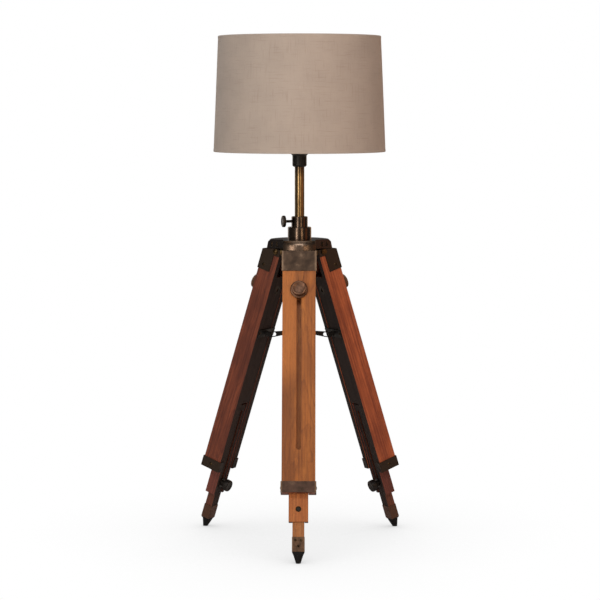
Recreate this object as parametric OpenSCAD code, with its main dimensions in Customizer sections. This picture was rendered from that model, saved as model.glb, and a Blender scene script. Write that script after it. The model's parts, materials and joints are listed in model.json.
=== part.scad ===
// Tripod table lamp. Millimetres, +Z up.
// The origin lies on the floor, under the lamp's axis. The first leg points along -Y.

/* [Tripod] */
// Height of the leg hinges above the floor
hinge_z = 438.5; // [430:0.5:540]
// Distance of the leg hinges from the lamp's axis
hinge_r = 27; // [26.5:0.5:34]
// Lean of the legs from the vertical, in degrees
leg_lean = 18.3; // [14:0.1:22]
// Width of an outer leg
leg_w = 49; // [46:0.5:60]
// Depth of an outer leg
leg_d = 30; // [28:0.5:36]
// Distance from the hinge pin to the inner face of a leg
hinge_inset = 8.2; // [8:0.1:12]
// Distance along a leg from the hinge pin to its lower end
leg_len = 361.9; // [300:0.1:380]
// Thickness of the slotted front wall of an outer leg
front_t = 12.3; // [8:0.1:14]
// Height of the leg's flat top above the hinge pin
roof_h = 4.9; // [4.5:0.1:6]

/* [Sliding leg] */
// Width of the sliding leg
mid_w = 28.4; // [26:0.1:32]
// Depth of the sliding leg
mid_d = 16.6; // [15.5:0.1:17]
// Distance along a leg from the hinge pin to the sliding leg's top
mid_top = 40; // [30:1:48]
// Distance along a leg from the hinge pin to the sliding leg's foot
mid_len = 403; // [390:1:420]
// Thickness of the sliding leg's front wall
mid_wall = 2.6; // [2:0.1:3.2]
// Length of travel of the sliding leg
mid_travel = 235; // [180:1:240]
// Play around each sliding piece of wood
slide_gap = 0.25; // [0.2:0.05:0.4]

/* [Foot] */
// Width of the foot stick
foot_w = 17.2; // [15:0.1:20]
// Depth of the foot stick
foot_d = 12.4; // [10:0.1:12.4]
// Length of travel of the foot stick
foot_travel = 120; // [80:1:130]
// Height of the foot ferrule's lower edge, along the leg from the floor
tip_h = 16; // [12:0.5:22]
// Length of the foot ferrule
foot_ferrule_h = 21.5; // [16:0.5:26]
// Wall of the foot ferrule
foot_ferrule_t = 0.65; // [0.5:0.05:1]
// Radius of the foot tip at its top
tip_r = 7; // [6:0.1:8]
// Radius of the foot tip at its lower end
tip_end_r = 2.9; // [2:0.1:4]

/* [Leg fittings] */
// Sheet thickness of the top cap
cap_t = 1.3; // [1:0.1:2]
// Distance along the leg from the hinge pin to the cap's lower edge
cap_low = 33; // [28:0.5:40]
// Depth of the cap's cheeks, from its front
cheek_d = 22; // [20:0.5:26]
// Wall of the lower ferrule
ferrule_t = 1.45; // [1:0.05:2]
// Height of the lower ferrule
ferrule_h = 16.2; // [12:0.1:24]
// Radius of the hinge bolt
bolt_r = 2.5; // [2:0.1:3]
// Radius of the hinge bolt's domed head
bolt_head_r = 4.6; // [4:0.1:4.6]
// Radius of a wood screw's shank
screw_r = 1.4; // [1:0.1:1.6]
// Radius of a wood screw's head
screw_head_r = 2.6; // [2:0.1:3]

/* [Clamp knobs] */
// Distance along a leg from the hinge pin to the upper clamp stud
knob_drop = 61.4; // [56:0.1:66]
// Radius of the upper clamp stud
stud_r = 3; // [2.5:0.1:3.4]
// Radius of the upper knob
knob_r = 10.8; // [9:0.1:13]
// Radius of the upper knob's flange
knob_flange_r = 13; // [11:0.1:14]
// Height of the upper knob with its flange
knob_h = 13; // [10:0.1:16]
// Distance along a leg from the hinge pin to the foot clamp stud
foot_knob_drop = 384.5; // [383:0.1:388]
// Radius of the foot clamp stud
foot_stud_r = 2.5; // [2:0.1:2.8]
// Radius of the foot knob
foot_knob_r = 9.2; // [8:0.1:10]
// Thickness of the foot knob's grip
foot_knob_t = 7.6; // [6:0.1:9]
// Length of the foot knob's neck
foot_knob_neck = 6.5; // [5:0.1:8]

/* [Spreader] */
// Distance along a leg from the hinge pin to the bracket pin
bracket_drop = 130.6; // [120:0.1:150]
// Distance of the bracket pin from the leg's inner face
bracket_out = 8.8; // [8:0.1:9.5]
// Radius of the bracket pin and of the hub pins
pin_r = 1.3; // [1:0.1:1.5]
// Distance of the hub pins from the lamp's axis
hub_pin_at = 8; // [7.5:0.1:9]
// Height of the hub pins above the bracket pins
hub_lift = 7.6; // [5:0.1:10]
// Radius of the hub
hub_r = 14; // [12.5:0.5:16]
// Thickness of a spreader arm
arm_t = 2.6; // [2:0.1:3]
// Length of the slot at the outer end of an arm
arm_slot = 8.4; // [8.2:0.1:10]
// Play of the bracket pin across the slot
arm_slot_play = 1.4; // [1.4:0.1:1.6]

/* [Head] */
// Width of the three arms of the head
head_w = 48; // [44:0.5:48]
// Thickness of the head
head_h = 13.7; // [12:0.1:18]
// Radius of the head at its underside
head_low_r = 49.5; // [44:0.5:54]
// Radius of the head where its bevelled top edge begins
head_rim_r = 47.5; // [42:0.5:50]
// Radius of the head's flat top
head_top_r = 44; // [36:0.5:46]
// Radius of the stem socket's base
socket_r = 17.75; // [16:0.25:22]
// Height of the stem socket's base
socket_h = 18.2; // [14:0.1:24]
// Radius of the stem socket's collar
collar_r = 12.3; // [11:0.1:14]
// Height of the stem socket's collar
collar_h = 15.9; // [13:0.1:22]
// Direction of the thumbscrew, in degrees from +X
thumb_az = 195; // [0:1:359]
// Radius of the thumbscrew's shank
thumb_shank_r = 2.2; // [1.8:0.1:2.6]
// Radius of the thumbscrew's head
thumb_r = 8.75; // [7:0.25:9]
// Thickness of the thumbscrew's head
thumb_t = 4.6; // [3:0.1:6]
// Distance of the thumbscrew's head from the lamp's axis
thumb_out = 22.3; // [20:0.1:26]

/* [Stem and lampholder] */
// Radius of the stem tube
tube_r = 7.25; // [6.5:0.05:8]
// Wall of the stem tube
tube_wall = 1.2; // [1:0.1:1.5]
// Length of the stem tube seen between the collar and the lampholder
tube_seen = 74.6; // [60:0.1:120]
// Length of the stem tube below the head
tube_below = 14.6; // [8:0.1:20]
// Radius of the cord outlet
cord_hole_r = 3.5; // [3:0.1:4]
// Radius of the lampholder's neck
neck_r = 10.75; // [9.5:0.05:12]
// Height of the lampholder's neck
neck_h = 17; // [14:0.5:24]
// Radius of the lampholder's shoulder
shoulder_r = 21.5; // [21:0.1:23]
// Radius of the lampholder's threaded shell
shell_r = 19.5; // [18.5:0.1:19.5]
// Height of the lampholder's threaded shell
shell_h = 28; // [24:0.5:32]
// Radius of the bulb's glass
bulb_r = 30; // [25:0.5:34]
// Height of the bulb's screw cap
bulb_cap_h = 24; // [22:0.5:26]
// Radius of the bulb's screw cap
bulb_cap_r = 13.2; // [13:0.1:13.3]

/* [Shade] */
// Height of the shade
shade_h = 172.3; // [150:0.1:210]
// Radius of the shade at its top
shade_top_r = 121.5; // [100:0.5:150]
// Radius of the shade at its bottom
shade_bottom_r = 129; // [105:0.5:160]
// Thickness of the shade's lined fabric
shade_t = 1.2; // [0.8:0.1:2]
// Height of the neck's lower end below the shade
neck_seen = 22.7; // [12:0.1:30]
// Radius of the shade's wire
wire_r = 1.6; // [1.2:0.1:2]

/* [Hidden] */
$fn = 64;
LEG_TAGS = ["a", "b", "c"];
LEG_AZ = [-90, 150, 30];
LEG_PARTS = [
    "channel", "cap", "ferrule", "bracket", "screws", "hinge_bolt", "slider", "inserts",
    "knob", "foot_knob", "foot_stick", "foot_ferrule", "foot_screws", "foot_tip", "arm"
];
CENTRE_PARTS = [
    "head_casting", "stem_socket", "socket_locknut", "thumbscrew", "stem_tube", "cord_bush",
    "holder_cap", "holder_insert", "holder_shell", "shade_ring_nut", "bulb_cap", "bulb_glass",
    "shade_frame", "shade_fabric", "spreader_hub"
];

// Clearances
touch = 0.05;       // between fixed pieces, and round a turning shaft
loose = 0.3;        // between moving pieces that don't guide each other
cut = 1;            // how far a cutting solid runs past the surface
far = 60;           // longer than any section of a leg

// Leg section, along X from the hinge pin, outwards
leg_back = -hinge_inset;
leg_front = leg_back + leg_d;
channel_front = leg_front - front_t;
channel_w = mid_w + 2 * slide_gap;
rail_w = (leg_w - channel_w) / 2;
mid_front = channel_front - slide_gap;
mid_back = mid_front - mid_d;
foot_front = mid_front - mid_wall - slide_gap;
foot_back = foot_front - foot_d;
foot_x = (foot_front + foot_back) / 2;
groove_w = foot_w + 2 * slide_gap;

// Tongue of the head in the top of each leg
tongue_r = 7;
tongue_w = channel_w - 0.8;
cap_band = 6;       // full-depth band of the cap, below the hinge pin
cap_screw_in = 8;   // from the cap's front and lower edges to its screws

// Clamp studs, slots and inserts
slot_play = 0.6;
insert_r = stud_r + 1.6;
foot_insert_r = foot_stud_r + 1.6;
insert_len = 10;
insert_flange_r = insert_r + 2.6;
insert_flange_t = 1.2;
stick_over = 10;    // wood of the foot stick above its slot
groove_over = 3;    // air in the sliding leg above the foot stick
stud_end = 0.4;     // from the foot stud's end to the sliding leg's face
stick_top = foot_knob_drop - foot_travel - foot_stud_r - stick_over;

// Where a leg meets the floor, along the leg
floor_at = (hinge_z + foot_x * sin(leg_lean)) / cos(leg_lean);

// Spreader, worked out from the bracket pin's place on a leaning leg
bracket_x = leg_back - bracket_out;
bracket_r = hinge_r + bracket_x * cos(leg_lean) + bracket_drop * sin(leg_lean);
bracket_z = hinge_z + bracket_x * sin(leg_lean) - bracket_drop * cos(leg_lean);
hub_z = bracket_z + hub_lift;
arm_run = bracket_r - hub_pin_at;
arm_len = sqrt(arm_run * arm_run + hub_lift * hub_lift);
arm_dip = atan2(hub_lift, arm_run);
eye_r = 2.9;
bracket_plate_t = 1.6;
ear_t = 1.5;

// Heights on the lamp's axis
fold_gap = 0.2;
head_z = hinge_z + roof_h + fold_gap;
socket_z = head_z + head_h;
collar_z = socket_z + socket_h;
neck_z = collar_z + collar_h + tube_seen;
tube_low = head_z - tube_below;
tube_grip = 14;     // tube inside the lampholder's neck
flare_h = 11;
shoulder_z = neck_z + neck_h + flare_h;
shoulder_h = 10;
shell_z = shoulder_z + shoulder_h;
holder_wall = 1.6;
stub_r = tube_r + 3.75;
stub_low = 9;
locknut_h = 6.5;
locknut_flat = 13;  // half the width across its flats
thumb_z = collar_z + collar_h * 0.55;
seat_gap = 0.3;     // under the shade's fitter
fitter_t = 1.2;
nut_h = 5;
nut_wall = 4;
insert_h = 3;
contact_h = 2.2;
bulb_tip_z = shell_z + insert_h + contact_h;
bulb_cap_z = bulb_tip_z + 2.8;
bulb_neck_z = bulb_cap_z + bulb_cap_h;
bulb_z = bulb_neck_z + bulb_r * 1.8;    // middle of the round part
bulb_wall = 1;
shade_z = neck_z + neck_seen;
ring_in = 2.2;      // from the shade's edge to the middle of its wire

module span(x, y, z) {
    // A block between two values on each axis.
    translate([x[0], y[0], z[0]]) cube([x[1] - x[0], y[1] - y[0], z[1] - z[0]]);
}

module wide(x, w, z) {
    // A block of width w, centred on the leg.
    span(x, [-w / 2, w / 2], z);
}

module disc(r, z0, z1) {
    translate([0, 0, z0]) cylinder(r = r, h = z1 - z0);
}

module cone(r0, r1, z0, z1) {
    translate([0, 0, z0]) cylinder(r1 = r0, r2 = r1, h = z1 - z0);
}

module rod_x(r, x0, x1, z = 0) {
    // A round bar along X.
    translate([x0, 0, z]) rotate([0, 90, 0]) cylinder(r = r, h = x1 - x0);
}

module rod_y(r, w, x = 0, z = 0) {
    // A round bar along Y, centred on the leg.
    translate([x, w / 2, z]) rotate([90, 0, 0]) cylinder(r = r, h = w);
}

module on_leg(i) {
    // The frame of one leg: hinge pin at the origin, +X outwards, +Z up along the leg.
    rotate([0, 0, LEG_AZ[i]]) translate([hinge_r, 0, hinge_z]) rotate([0, -leg_lean, 0]) children();
}

module slab(w, x0, x1, z0, h) {
    // A length of leg from x0 to x1 and down to z0. Its top lies level, h above the hinge pin,
    // outside the pin, and square to the leg inside it, so that it clears the head as it folds.
    rotate([90, 0, 0]) linear_extrude(w, center = true) polygon([
        [x0, z0],
        [x1, z0],
        [x1, (h - x1 * sin(leg_lean)) / cos(leg_lean)],
        [h * sin(leg_lean), h * cos(leg_lean)],
        [x0, h * cos(leg_lean)]
    ]);
}

module slot_x(r, x0, x1, z0, z1) {
    // A round-ended slot through X, between two end centres.
    rod_x(r, x0, x1, z0);
    rod_x(r, x0, x1, z1);
    wide([x0, x1], 2 * r, [z0, z1]);
}

// --- outer leg ---

module at_leg_screws() {
    // The wood screws of an outer leg: two in the bracket, two in the cap and two in the ferrule.
    // Each points along +Z into the wood from the surface that its head lies on.
    for (side = [-1, 1]) {
        translate([leg_back - bracket_plate_t, side * (channel_w + rail_w) / 2, -bracket_drop])
            rotate([0, 90, 0]) children();
        translate([leg_front - cap_screw_in, side * (leg_w / 2 + cap_t), -cap_low + cap_screw_in])
            rotate([side * 90, 0, 0]) children();
        translate([(leg_front + leg_back) / 2, side * (leg_w / 2 + ferrule_t), -leg_len + ferrule_h / 2])
            rotate([side * 90, 0, 0]) children();
    }
}

module wood_screw(gap = 0) {
    len = 8;
    head_h = 0.9;
    disc(screw_r + gap, 0, len + gap);
    if (gap == 0) cone(screw_head_r * 0.7, screw_head_r, -head_h, 0);
}

module leg_channel() {
    color("#a5602c") difference() {
        slab(leg_w, leg_back, leg_front, -leg_len, roof_h - cap_t);
        wide([leg_back - cut, channel_front], channel_w, [-leg_len - cut, far]);
        slot_x(stud_r + slot_play, channel_front - cut, leg_front + cut, -knob_drop - mid_travel, -knob_drop);
        rod_y(bolt_r + touch, leg_w + 2 * cut);
        at_leg_screws() wood_screw(touch);
    }
}

module leg_cap() {
    outer_w = leg_w + 2 * cap_t;
    cheek_back = leg_front + cap_t - cheek_d;
    color("#4a3c33") difference() {
        slab(outer_w, leg_back, leg_front + cap_t, -cap_low, roof_h);
        slab(leg_w, leg_back - cut, leg_front, -cap_low - cut, roof_h - cap_t);
        wide([leg_back - cut, channel_front], channel_w, [0, far]);
        wide([leg_back - cut, cheek_back], outer_w + 2 * cut, [-cap_low - cut, -cap_band]);
        rod_y(bolt_r + touch, outer_w + 2 * cut);
        at_leg_screws() wood_screw(touch);
    }
}

module leg_ferrule() {
    // A band round the leg's end, open at the back where the sliding leg shows.
    outer_w = leg_w + 2 * ferrule_t;
    open_w = channel_w + 1;
    color("#4a3c33") difference() {
        wide([leg_back - ferrule_t, leg_front + ferrule_t], outer_w, [-leg_len, -leg_len + ferrule_h]);
        wide([leg_back, leg_front], leg_w, [-leg_len - cut, -leg_len + ferrule_h + cut]);
        wide([leg_back - far, 0], open_w, [-leg_len - cut, -leg_len + ferrule_h + cut]);
        at_leg_screws() wood_screw(touch);
    }
}

module leg_bracket() {
    // A strap across the leg's inner face, with two ears and the pin of the spreader arm.
    // The strap is notched between the ears, where the arm's end swings as the legs fold.
    gap = arm_t + 2 * loose;
    plate_w = leg_w - 4;
    plate_h = 12;
    notch_below = 0.5;
    ear_w = 5.4;
    plate_x = leg_back - bracket_plate_t;
    color("#1f1c1a") {
        difference() {
            union() {
                wide([plate_x, leg_back], plate_w, [-bracket_drop - plate_h / 2, -bracket_drop + plate_h / 2]);
                for (side = [-1, 1]) {
                    low = side > 0 ? gap / 2 : -gap / 2 - ear_t;
                    span([bracket_x, plate_x + touch], [low, low + ear_t],
                         [-bracket_drop - ear_w / 2, -bracket_drop + ear_w / 2]);
                    translate([0, low + ear_t / 2, 0]) rod_y(ear_w / 2, ear_t, bracket_x, -bracket_drop);
                }
                rod_y(pin_r, gap + 2 * ear_t, bracket_x, -bracket_drop);
            }
            wide([plate_x - cut, leg_back + cut], gap,
                 [-bracket_drop - plate_h / 2 - cut, -bracket_drop - notch_below]);
            at_leg_screws() wood_screw(touch);
        }
    }
}

module leg_screws() {
    color("#5c4a30") at_leg_screws() wood_screw();
}

module leg_hinge_bolt() {
    // A bolt through the cap, the leg's two rails and the head's tongue, with its nut.
    side = leg_w / 2 + cap_t;
    head_h = 2.6;
    end_h = 3;
    color("#5c4a30") {
        rod_y(bolt_r, 2 * (side + end_h));
        translate([0, side, 0]) rotate([-90, 0, 0]) cone(bolt_head_r, bolt_head_r * 0.55, 0, head_h);
        difference() {
            translate([0, -side, 0]) rotate([90, 0, 0]) cylinder(r = bolt_head_r, h = head_h, $fn = 6);
            rod_y(bolt_r + touch, 2 * (side + end_h) + 2 * cut);
        }
    }
}

// --- sliding leg ---

module leg_slider() {
    groove_front = mid_front - mid_wall;
    color("#b06a30") difference() {
        wide([mid_back, mid_front], mid_w, [-mid_len, -mid_top]);
        wide([mid_back - cut, groove_front], groove_w, [-mid_len - cut, -stick_top + groove_over]);
        rod_x(stud_r + loose, mid_back, mid_front + cut, -knob_drop);
        rod_x(insert_r, mid_back - cut, mid_back + insert_len, -knob_drop);
        rod_x(insert_flange_r, mid_back - cut, mid_back + insert_flange_t, -knob_drop);
        rod_x(foot_insert_r, groove_front - cut, mid_front + cut, -foot_knob_drop);
    }
}

module leg_inserts() {
    // Threaded inserts: a flanged one for the upper stud and a plain one for the foot stud.
    color("#7a5c2c") {
        difference() {
            union() {
                rod_x(insert_r, mid_back, mid_back + insert_len, -knob_drop);
                rod_x(insert_flange_r, mid_back, mid_back + insert_flange_t, -knob_drop);
            }
            rod_x(stud_r + touch, mid_back - cut, mid_back + insert_len + cut, -knob_drop);
        }
        difference() {
            rod_x(foot_insert_r, mid_front - mid_wall, mid_front, -foot_knob_drop);
            rod_x(foot_stud_r + touch, foot_front, mid_front + cut, -foot_knob_drop);
        }
    }
}

module leg_knob() {
    // The upper knob: a stud through the leg's slot, a flange and a round grip.
    base = leg_front + loose;
    flange = base + 2.4;
    waist = flange + 1.6;
    rim = 1.2;
    grip = base + knob_h - rim;
    color("#5a4836") translate([0, 0, -knob_drop]) {
        rod_x(stud_r, mid_back + 1, base + cut);
        rod_x(knob_flange_r, base, flange);
        rod_x(knob_r * 0.8, flange, waist);
        rod_x(knob_r, waist, grip);
        translate([grip, 0, 0]) rotate([0, 90, 0]) cone(knob_r, knob_r - rim, 0, rim);
    }
}

module leg_foot_knob() {
    // The foot knob, on the leg's inner side: its washer presses the foot stick.
    base = foot_back - loose;
    washer_t = 1.5;
    washer_r = foot_w / 2 - 1;
    knob_neck_r = 4.5;
    grip = base - washer_t - foot_knob_neck;
    rim = 1;
    face = grip - foot_knob_t + rim;
    color("#2a2522") translate([0, 0, -foot_knob_drop]) {
        rod_x(foot_stud_r, base - cut, mid_front - stud_end);
        rod_x(washer_r, base - washer_t, base);
        rod_x(knob_neck_r, grip - cut, base - cut);
        rod_x(foot_knob_r, face, grip);
        translate([face, 0, 0]) rotate([0, -90, 0]) cone(foot_knob_r, foot_knob_r - rim, 0, rim);
    }
}

// --- foot ---

module at_foot_screws() {
    // Three screws in the front of the foot ferrule, which point along +Z into the stick.
    // Each spot is across the leg, then down from the ferrule's upper edge.
    top = -floor_at + tip_h + foot_ferrule_h;
    spots = [[-4.2, 5], [4.2, 5], [0, 13.5]];
    for (s = spots)
        translate([foot_front + foot_ferrule_t, s[0], top - s[1]]) rotate([0, -90, 0]) children();
}

module foot_screw(gap = 0) {
    len = 6;
    head_h = 0.6;
    disc(screw_r * 0.7 + gap, 0, len + gap);
    if (gap == 0) cone(screw_r * 0.9, screw_r * 1.3, -head_h, 0);
}

module leg_foot_stick() {
    color("#b06a30") difference() {
        wide([foot_back, foot_front], foot_w, [-floor_at + tip_h, -stick_top]);
        slot_x(foot_stud_r + loose, foot_back - cut, foot_front + cut,
               -foot_knob_drop, -foot_knob_drop + foot_travel);
        at_foot_screws() foot_screw(touch);
    }
}

module leg_foot_ferrule() {
    low = -floor_at + tip_h;
    color("#5a4836") difference() {
        wide([foot_back - foot_ferrule_t, foot_front + foot_ferrule_t], foot_w + 2 * foot_ferrule_t,
             [low, low + foot_ferrule_h]);
        wide([foot_back, foot_front], foot_w, [low - cut, low + foot_ferrule_h + cut]);
        at_foot_screws() foot_screw(touch);
    }
}

module leg_foot_screws() {
    color("#2a2522") at_foot_screws() foot_screw();
}

module leg_foot_tip(i) {
    // A tapered tip on the stick's end, cut level where it stands on the floor.
    shoulder = 5;
    plate = 1.5;
    under = 2;
    color("#151515") difference() {
        on_leg(i) translate([foot_x, 0, -floor_at]) {
            wide([-foot_d / 2, foot_d / 2], foot_w, [tip_h - plate, tip_h]);
            intersection() {
                wide([-foot_d / 2, foot_d / 2], foot_w, [-shoulder, tip_h]);
                union() {
                    cone(tip_r, foot_w / 2, tip_h - shoulder, tip_h - plate);
                    cone(tip_end_r, tip_r, -under, tip_h - shoulder);
                }
            }
        }
        span([-far * 5, far * 5], [-far * 5, far * 5], [-far, 0]);
    }
}

// --- spreader ---

module leg_arm(i) {
    // Its outer end has a slot, in which the bracket's pin rides while the legs fold.
    slot_in = arm_len - arm_slot;
    slot_half = pin_r + arm_slot_play;
    slot_wall = 1.4;
    end_r = slot_half + slot_wall;
    thin = 1.9;
    color("#1f1c1a") rotate([0, 0, LEG_AZ[i]]) translate([hub_pin_at, 0, hub_z]) rotate([0, arm_dip, 0])
        rotate([90, 0, 0]) linear_extrude(arm_t, center = true) difference() {
            union() {
                circle(r = eye_r);
                polygon([[0, -thin], [slot_in, -end_r], [arm_len, -end_r],
                         [arm_len, end_r], [slot_in, end_r], [0, thin]]);
                translate([arm_len, 0]) circle(r = end_r);
            }
            circle(r = pin_r + touch);
            translate([slot_in, 0]) circle(r = slot_half);
            translate([arm_len, 0]) circle(r = slot_half);
            translate([slot_in, -slot_half]) square([arm_slot, 2 * slot_half]);
        }
}

module spreader_hub() {
    // A disc with three slots, open below, in which the arms hang on their pins.
    gap = arm_t + 2 * loose;
    low = -4.4;
    high = 5.6;
    edge = 1.6;
    slot_top = eye_r + loose + 0.2;
    color("#1f1c1a") translate([0, 0, hub_z]) {
        difference() {
            union() {
                disc(hub_r, low, high);
                cone(hub_r, hub_r - edge, high, high + edge);
            }
            disc(cord_hole_r, -far, far);
            for (az = LEG_AZ) rotate([0, 0, az])
                wide([hub_pin_at - eye_r - loose, hub_r + cut], gap, [-far, slot_top]);
        }
        for (az = LEG_AZ) rotate([0, 0, az]) rod_y(pin_r, gap + 1, hub_pin_at);
    }
}

// --- head ---

module head_arm() {
    // One arm, with cast pockets between the ribs of its sides.
    rib = 3;
    pocket_w = 5.8;
    pocket_in = 2.2;
    lip_low = 3;
    lip_top = 3.6;
    first = 20.8;
    difference() {
        wide([0, head_low_r + cut], head_w, [head_z, socket_z]);
        for (side = [-1, 1]) for (n = [0, 1]) {
            x = first + n * (pocket_w + rib);
            translate([0, side * head_w / 2, 0])
                wide([x, x + pocket_w], 2 * pocket_in, [head_z + lip_low, socket_z - lip_top]);
        }
    }
}

module head_casting() {
    bevel = 3.6;
    tongue_in = 1.2;
    color("#5b4630") difference() {
        union() {
            intersection() {
                for (az = LEG_AZ) rotate([0, 0, az]) head_arm();
                union() {
                    cone(head_low_r, head_rim_r, head_z, socket_z - bevel);
                    cone(head_rim_r, head_top_r, socket_z - bevel, socket_z);
                }
            }
            for (az = LEG_AZ) rotate([0, 0, az]) {
                wide([hinge_r - tongue_r, hinge_r + tongue_r], tongue_w, [hinge_z, head_z + tongue_in]);
                rod_y(tongue_r, tongue_w, hinge_r, hinge_z);
            }
        }
        disc(stub_r + touch, head_z - far, socket_z + cut);
        for (az = LEG_AZ) rotate([0, 0, az]) rod_y(bolt_r + touch, tongue_w + 2 * cut, hinge_r, hinge_z);
    }
}

module stem_socket() {
    // A turned socket: a threaded stub through the head, a base and a collar with a clamp hole.
    edge = 0.7;
    color("#4f4130") difference() {
        union() {
            disc(stub_r, head_z - stub_low, socket_z);
            disc(socket_r, socket_z, collar_z - edge);
            cone(socket_r, socket_r - edge, collar_z - edge, collar_z);
            disc(collar_r, collar_z, collar_z + collar_h - edge);
            cone(collar_r, collar_r - edge, collar_z + collar_h - edge, collar_z + collar_h);
        }
        disc(tube_r + touch, head_z - far, neck_z);
        translate([0, 0, thumb_z]) rotate([0, 0, thumb_az]) rod_x(thumb_shank_r + touch, 0, socket_r);
    }
}

module socket_locknut() {
    color("#5c4a30") difference() {
        translate([0, 0, head_z - locknut_h]) cylinder(r = locknut_flat / cos(30), h = locknut_h, $fn = 6);
        disc(stub_r + touch, head_z - locknut_h - cut, head_z + cut);
    }
}

module thumbscrew() {
    edge = 1;
    color("#3a3028") translate([0, 0, thumb_z]) rotate([0, 0, thumb_az]) {
        rod_x(thumb_shank_r, tube_r + 0.15, thumb_out + cut);
        rod_x(thumb_r, thumb_out + edge, thumb_out + thumb_t - edge);
        translate([thumb_out, 0, 0]) rotate([0, 90, 0]) cone(thumb_r - edge, thumb_r, 0, edge);
        translate([thumb_out + thumb_t - edge, 0, 0]) rotate([0, 90, 0]) cone(thumb_r, thumb_r - edge, 0, edge);
    }
}

// --- stem and lampholder ---

module stem_tube() {
    color("#8f7440") difference() {
        disc(tube_r, tube_low, neck_z + tube_grip);
        disc(tube_r - tube_wall, tube_low - cut, neck_z + tube_grip + cut);
    }
}

module cord_bush() {
    // A bush in the tube's lower end, through which the cord leaves.
    flange_t = 2.5;
    barrel = 8;
    color("#1a1a1a") difference() {
        union() {
            disc(tube_r - tube_wall - touch, tube_low, tube_low + barrel);
            disc(tube_r - 0.1, tube_low - flange_t, tube_low);
        }
        disc(cord_hole_r, tube_low - flange_t - cut, tube_low + barrel + cut);
    }
}

module holder_cap() {
    edge = 2;
    flare_z = neck_z + neck_h;
    color("#191817") difference() {
        union() {
            cone(neck_r - edge, neck_r, neck_z, neck_z + edge);
            disc(neck_r, neck_z + edge, flare_z);
            cone(neck_r, shoulder_r, flare_z, shoulder_z);
            disc(shoulder_r, shoulder_z, shell_z);
        }
        disc(tube_r, neck_z - cut, neck_z + tube_grip);
        disc(tube_r - tube_wall, neck_z + tube_grip - cut, flare_z + cut);
        cone(neck_r - holder_wall, shoulder_r - holder_wall, flare_z, shoulder_z);
        disc(shoulder_r - holder_wall, shoulder_z, shell_z + cut);
    }
}

module holder_insert() {
    // The ceramic disc inside the cap, with the boss and middle contact under the bulb.
    contact_r = 3;
    color("#e4ddd0") {
        disc(shoulder_r - holder_wall - touch, shoulder_z, shell_z - touch);
        disc(bulb_cap_r - 1, shell_z - cut, shell_z + insert_h);
        disc(contact_r, shell_z + insert_h - cut, bulb_tip_z - touch);
    }
}

module holder_shell() {
    color("#191817") difference() {
        disc(shell_r, shell_z, shell_z + shell_h);
        disc(bulb_cap_r + 0.4, shell_z - cut, shell_z + shell_h + cut);
    }
}

module shade_ring_nut() {
    low = shell_z + seat_gap + fitter_t + seat_gap;
    color("#191817") difference() {
        disc(shell_r + nut_wall, low, low + nut_h);
        disc(shell_r + touch, low - cut, low + nut_h + cut);
    }
}

module bulb_cap() {
    tip_in_r = 4;
    color("#c8c8c4") {
        cone(tip_in_r, bulb_cap_r - 1, bulb_tip_z, bulb_cap_z);
        disc(bulb_cap_r, bulb_cap_z, bulb_neck_z);
    }
}

module bulb_glass() {
    // A round bulb with a tapered neck. Its wall is open at the screw cap.
    blend = bulb_r * 0.5;
    color("#f2efe6") difference() {
        union() {
            translate([0, 0, bulb_z]) sphere(r = bulb_r);
            cone(bulb_cap_r, sqrt(bulb_r * bulb_r - blend * blend), bulb_neck_z, bulb_z - blend);
        }
        translate([0, 0, bulb_z]) sphere(r = bulb_r - bulb_wall);
        cone(bulb_cap_r - bulb_wall, sqrt(bulb_r * bulb_r - blend * blend) - bulb_wall,
             bulb_neck_z - touch, bulb_z - blend + touch);
    }
}

// --- shade ---

function shade_r(z) = shade_bottom_r + (shade_top_r - shade_bottom_r) * z / shade_h;

module wire_ring(z) {
    // A wire ring against the inside of the fabric, at a height above the shade's bottom.
    translate([0, 0, shade_z + z]) rotate_extrude()
        translate([shade_r(z) - shade_t - wire_r - 2 * touch, 0]) circle(r = wire_r);
}

module shade_frame() {
    // The top ring, and the bottom ring with its three spokes and the fitter.
    fitter_z = shell_z + seat_gap;
    fitter_in = shell_r + loose;
    fitter_out = shell_r + nut_wall + 1.5;
    spoke_r = wire_r * 0.9;
    spoke_z = fitter_z + fitter_t / 2;
    spoke_in = 0.8;
    ring_z = shade_z + ring_in;
    ring_r = shade_r(ring_in) - shade_t - wire_r - 2 * touch;
    run = ring_r - fitter_out + spoke_in;
    color("#d8d5cc") {
        wire_ring(shade_h - ring_in);
        wire_ring(ring_in);
        difference() {
            disc(fitter_out, fitter_z, fitter_z + fitter_t);
            disc(fitter_in, fitter_z - cut, fitter_z + fitter_t + cut);
        }
        for (az = LEG_AZ) rotate([0, 0, az + 60]) translate([ring_r, 0, ring_z])
            rotate([0, -atan2(run, spoke_z - ring_z), 0])
                cylinder(r = spoke_r, h = norm([run, spoke_z - ring_z]));
    }
}

module shade_fabric() {
    color("#b5a08f") difference() {
        cone(shade_bottom_r, shade_top_r, shade_z, shade_z + shade_h);
        cone(shade_bottom_r - shade_t, shade_top_r - shade_t, shade_z, shade_z + shade_h);
        disc(shade_bottom_r - shade_t, shade_z - cut, shade_z);
        disc(shade_top_r - shade_t, shade_z + shade_h, shade_z + shade_h + cut);
    }
}

head_casting();
stem_socket();
socket_locknut();
thumbscrew();
stem_tube();
cord_bush();
holder_cap();
holder_insert();
holder_shell();
shade_ring_nut();
bulb_cap();
bulb_glass();
shade_frame();
shade_fabric();
spreader_hub();

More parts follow.
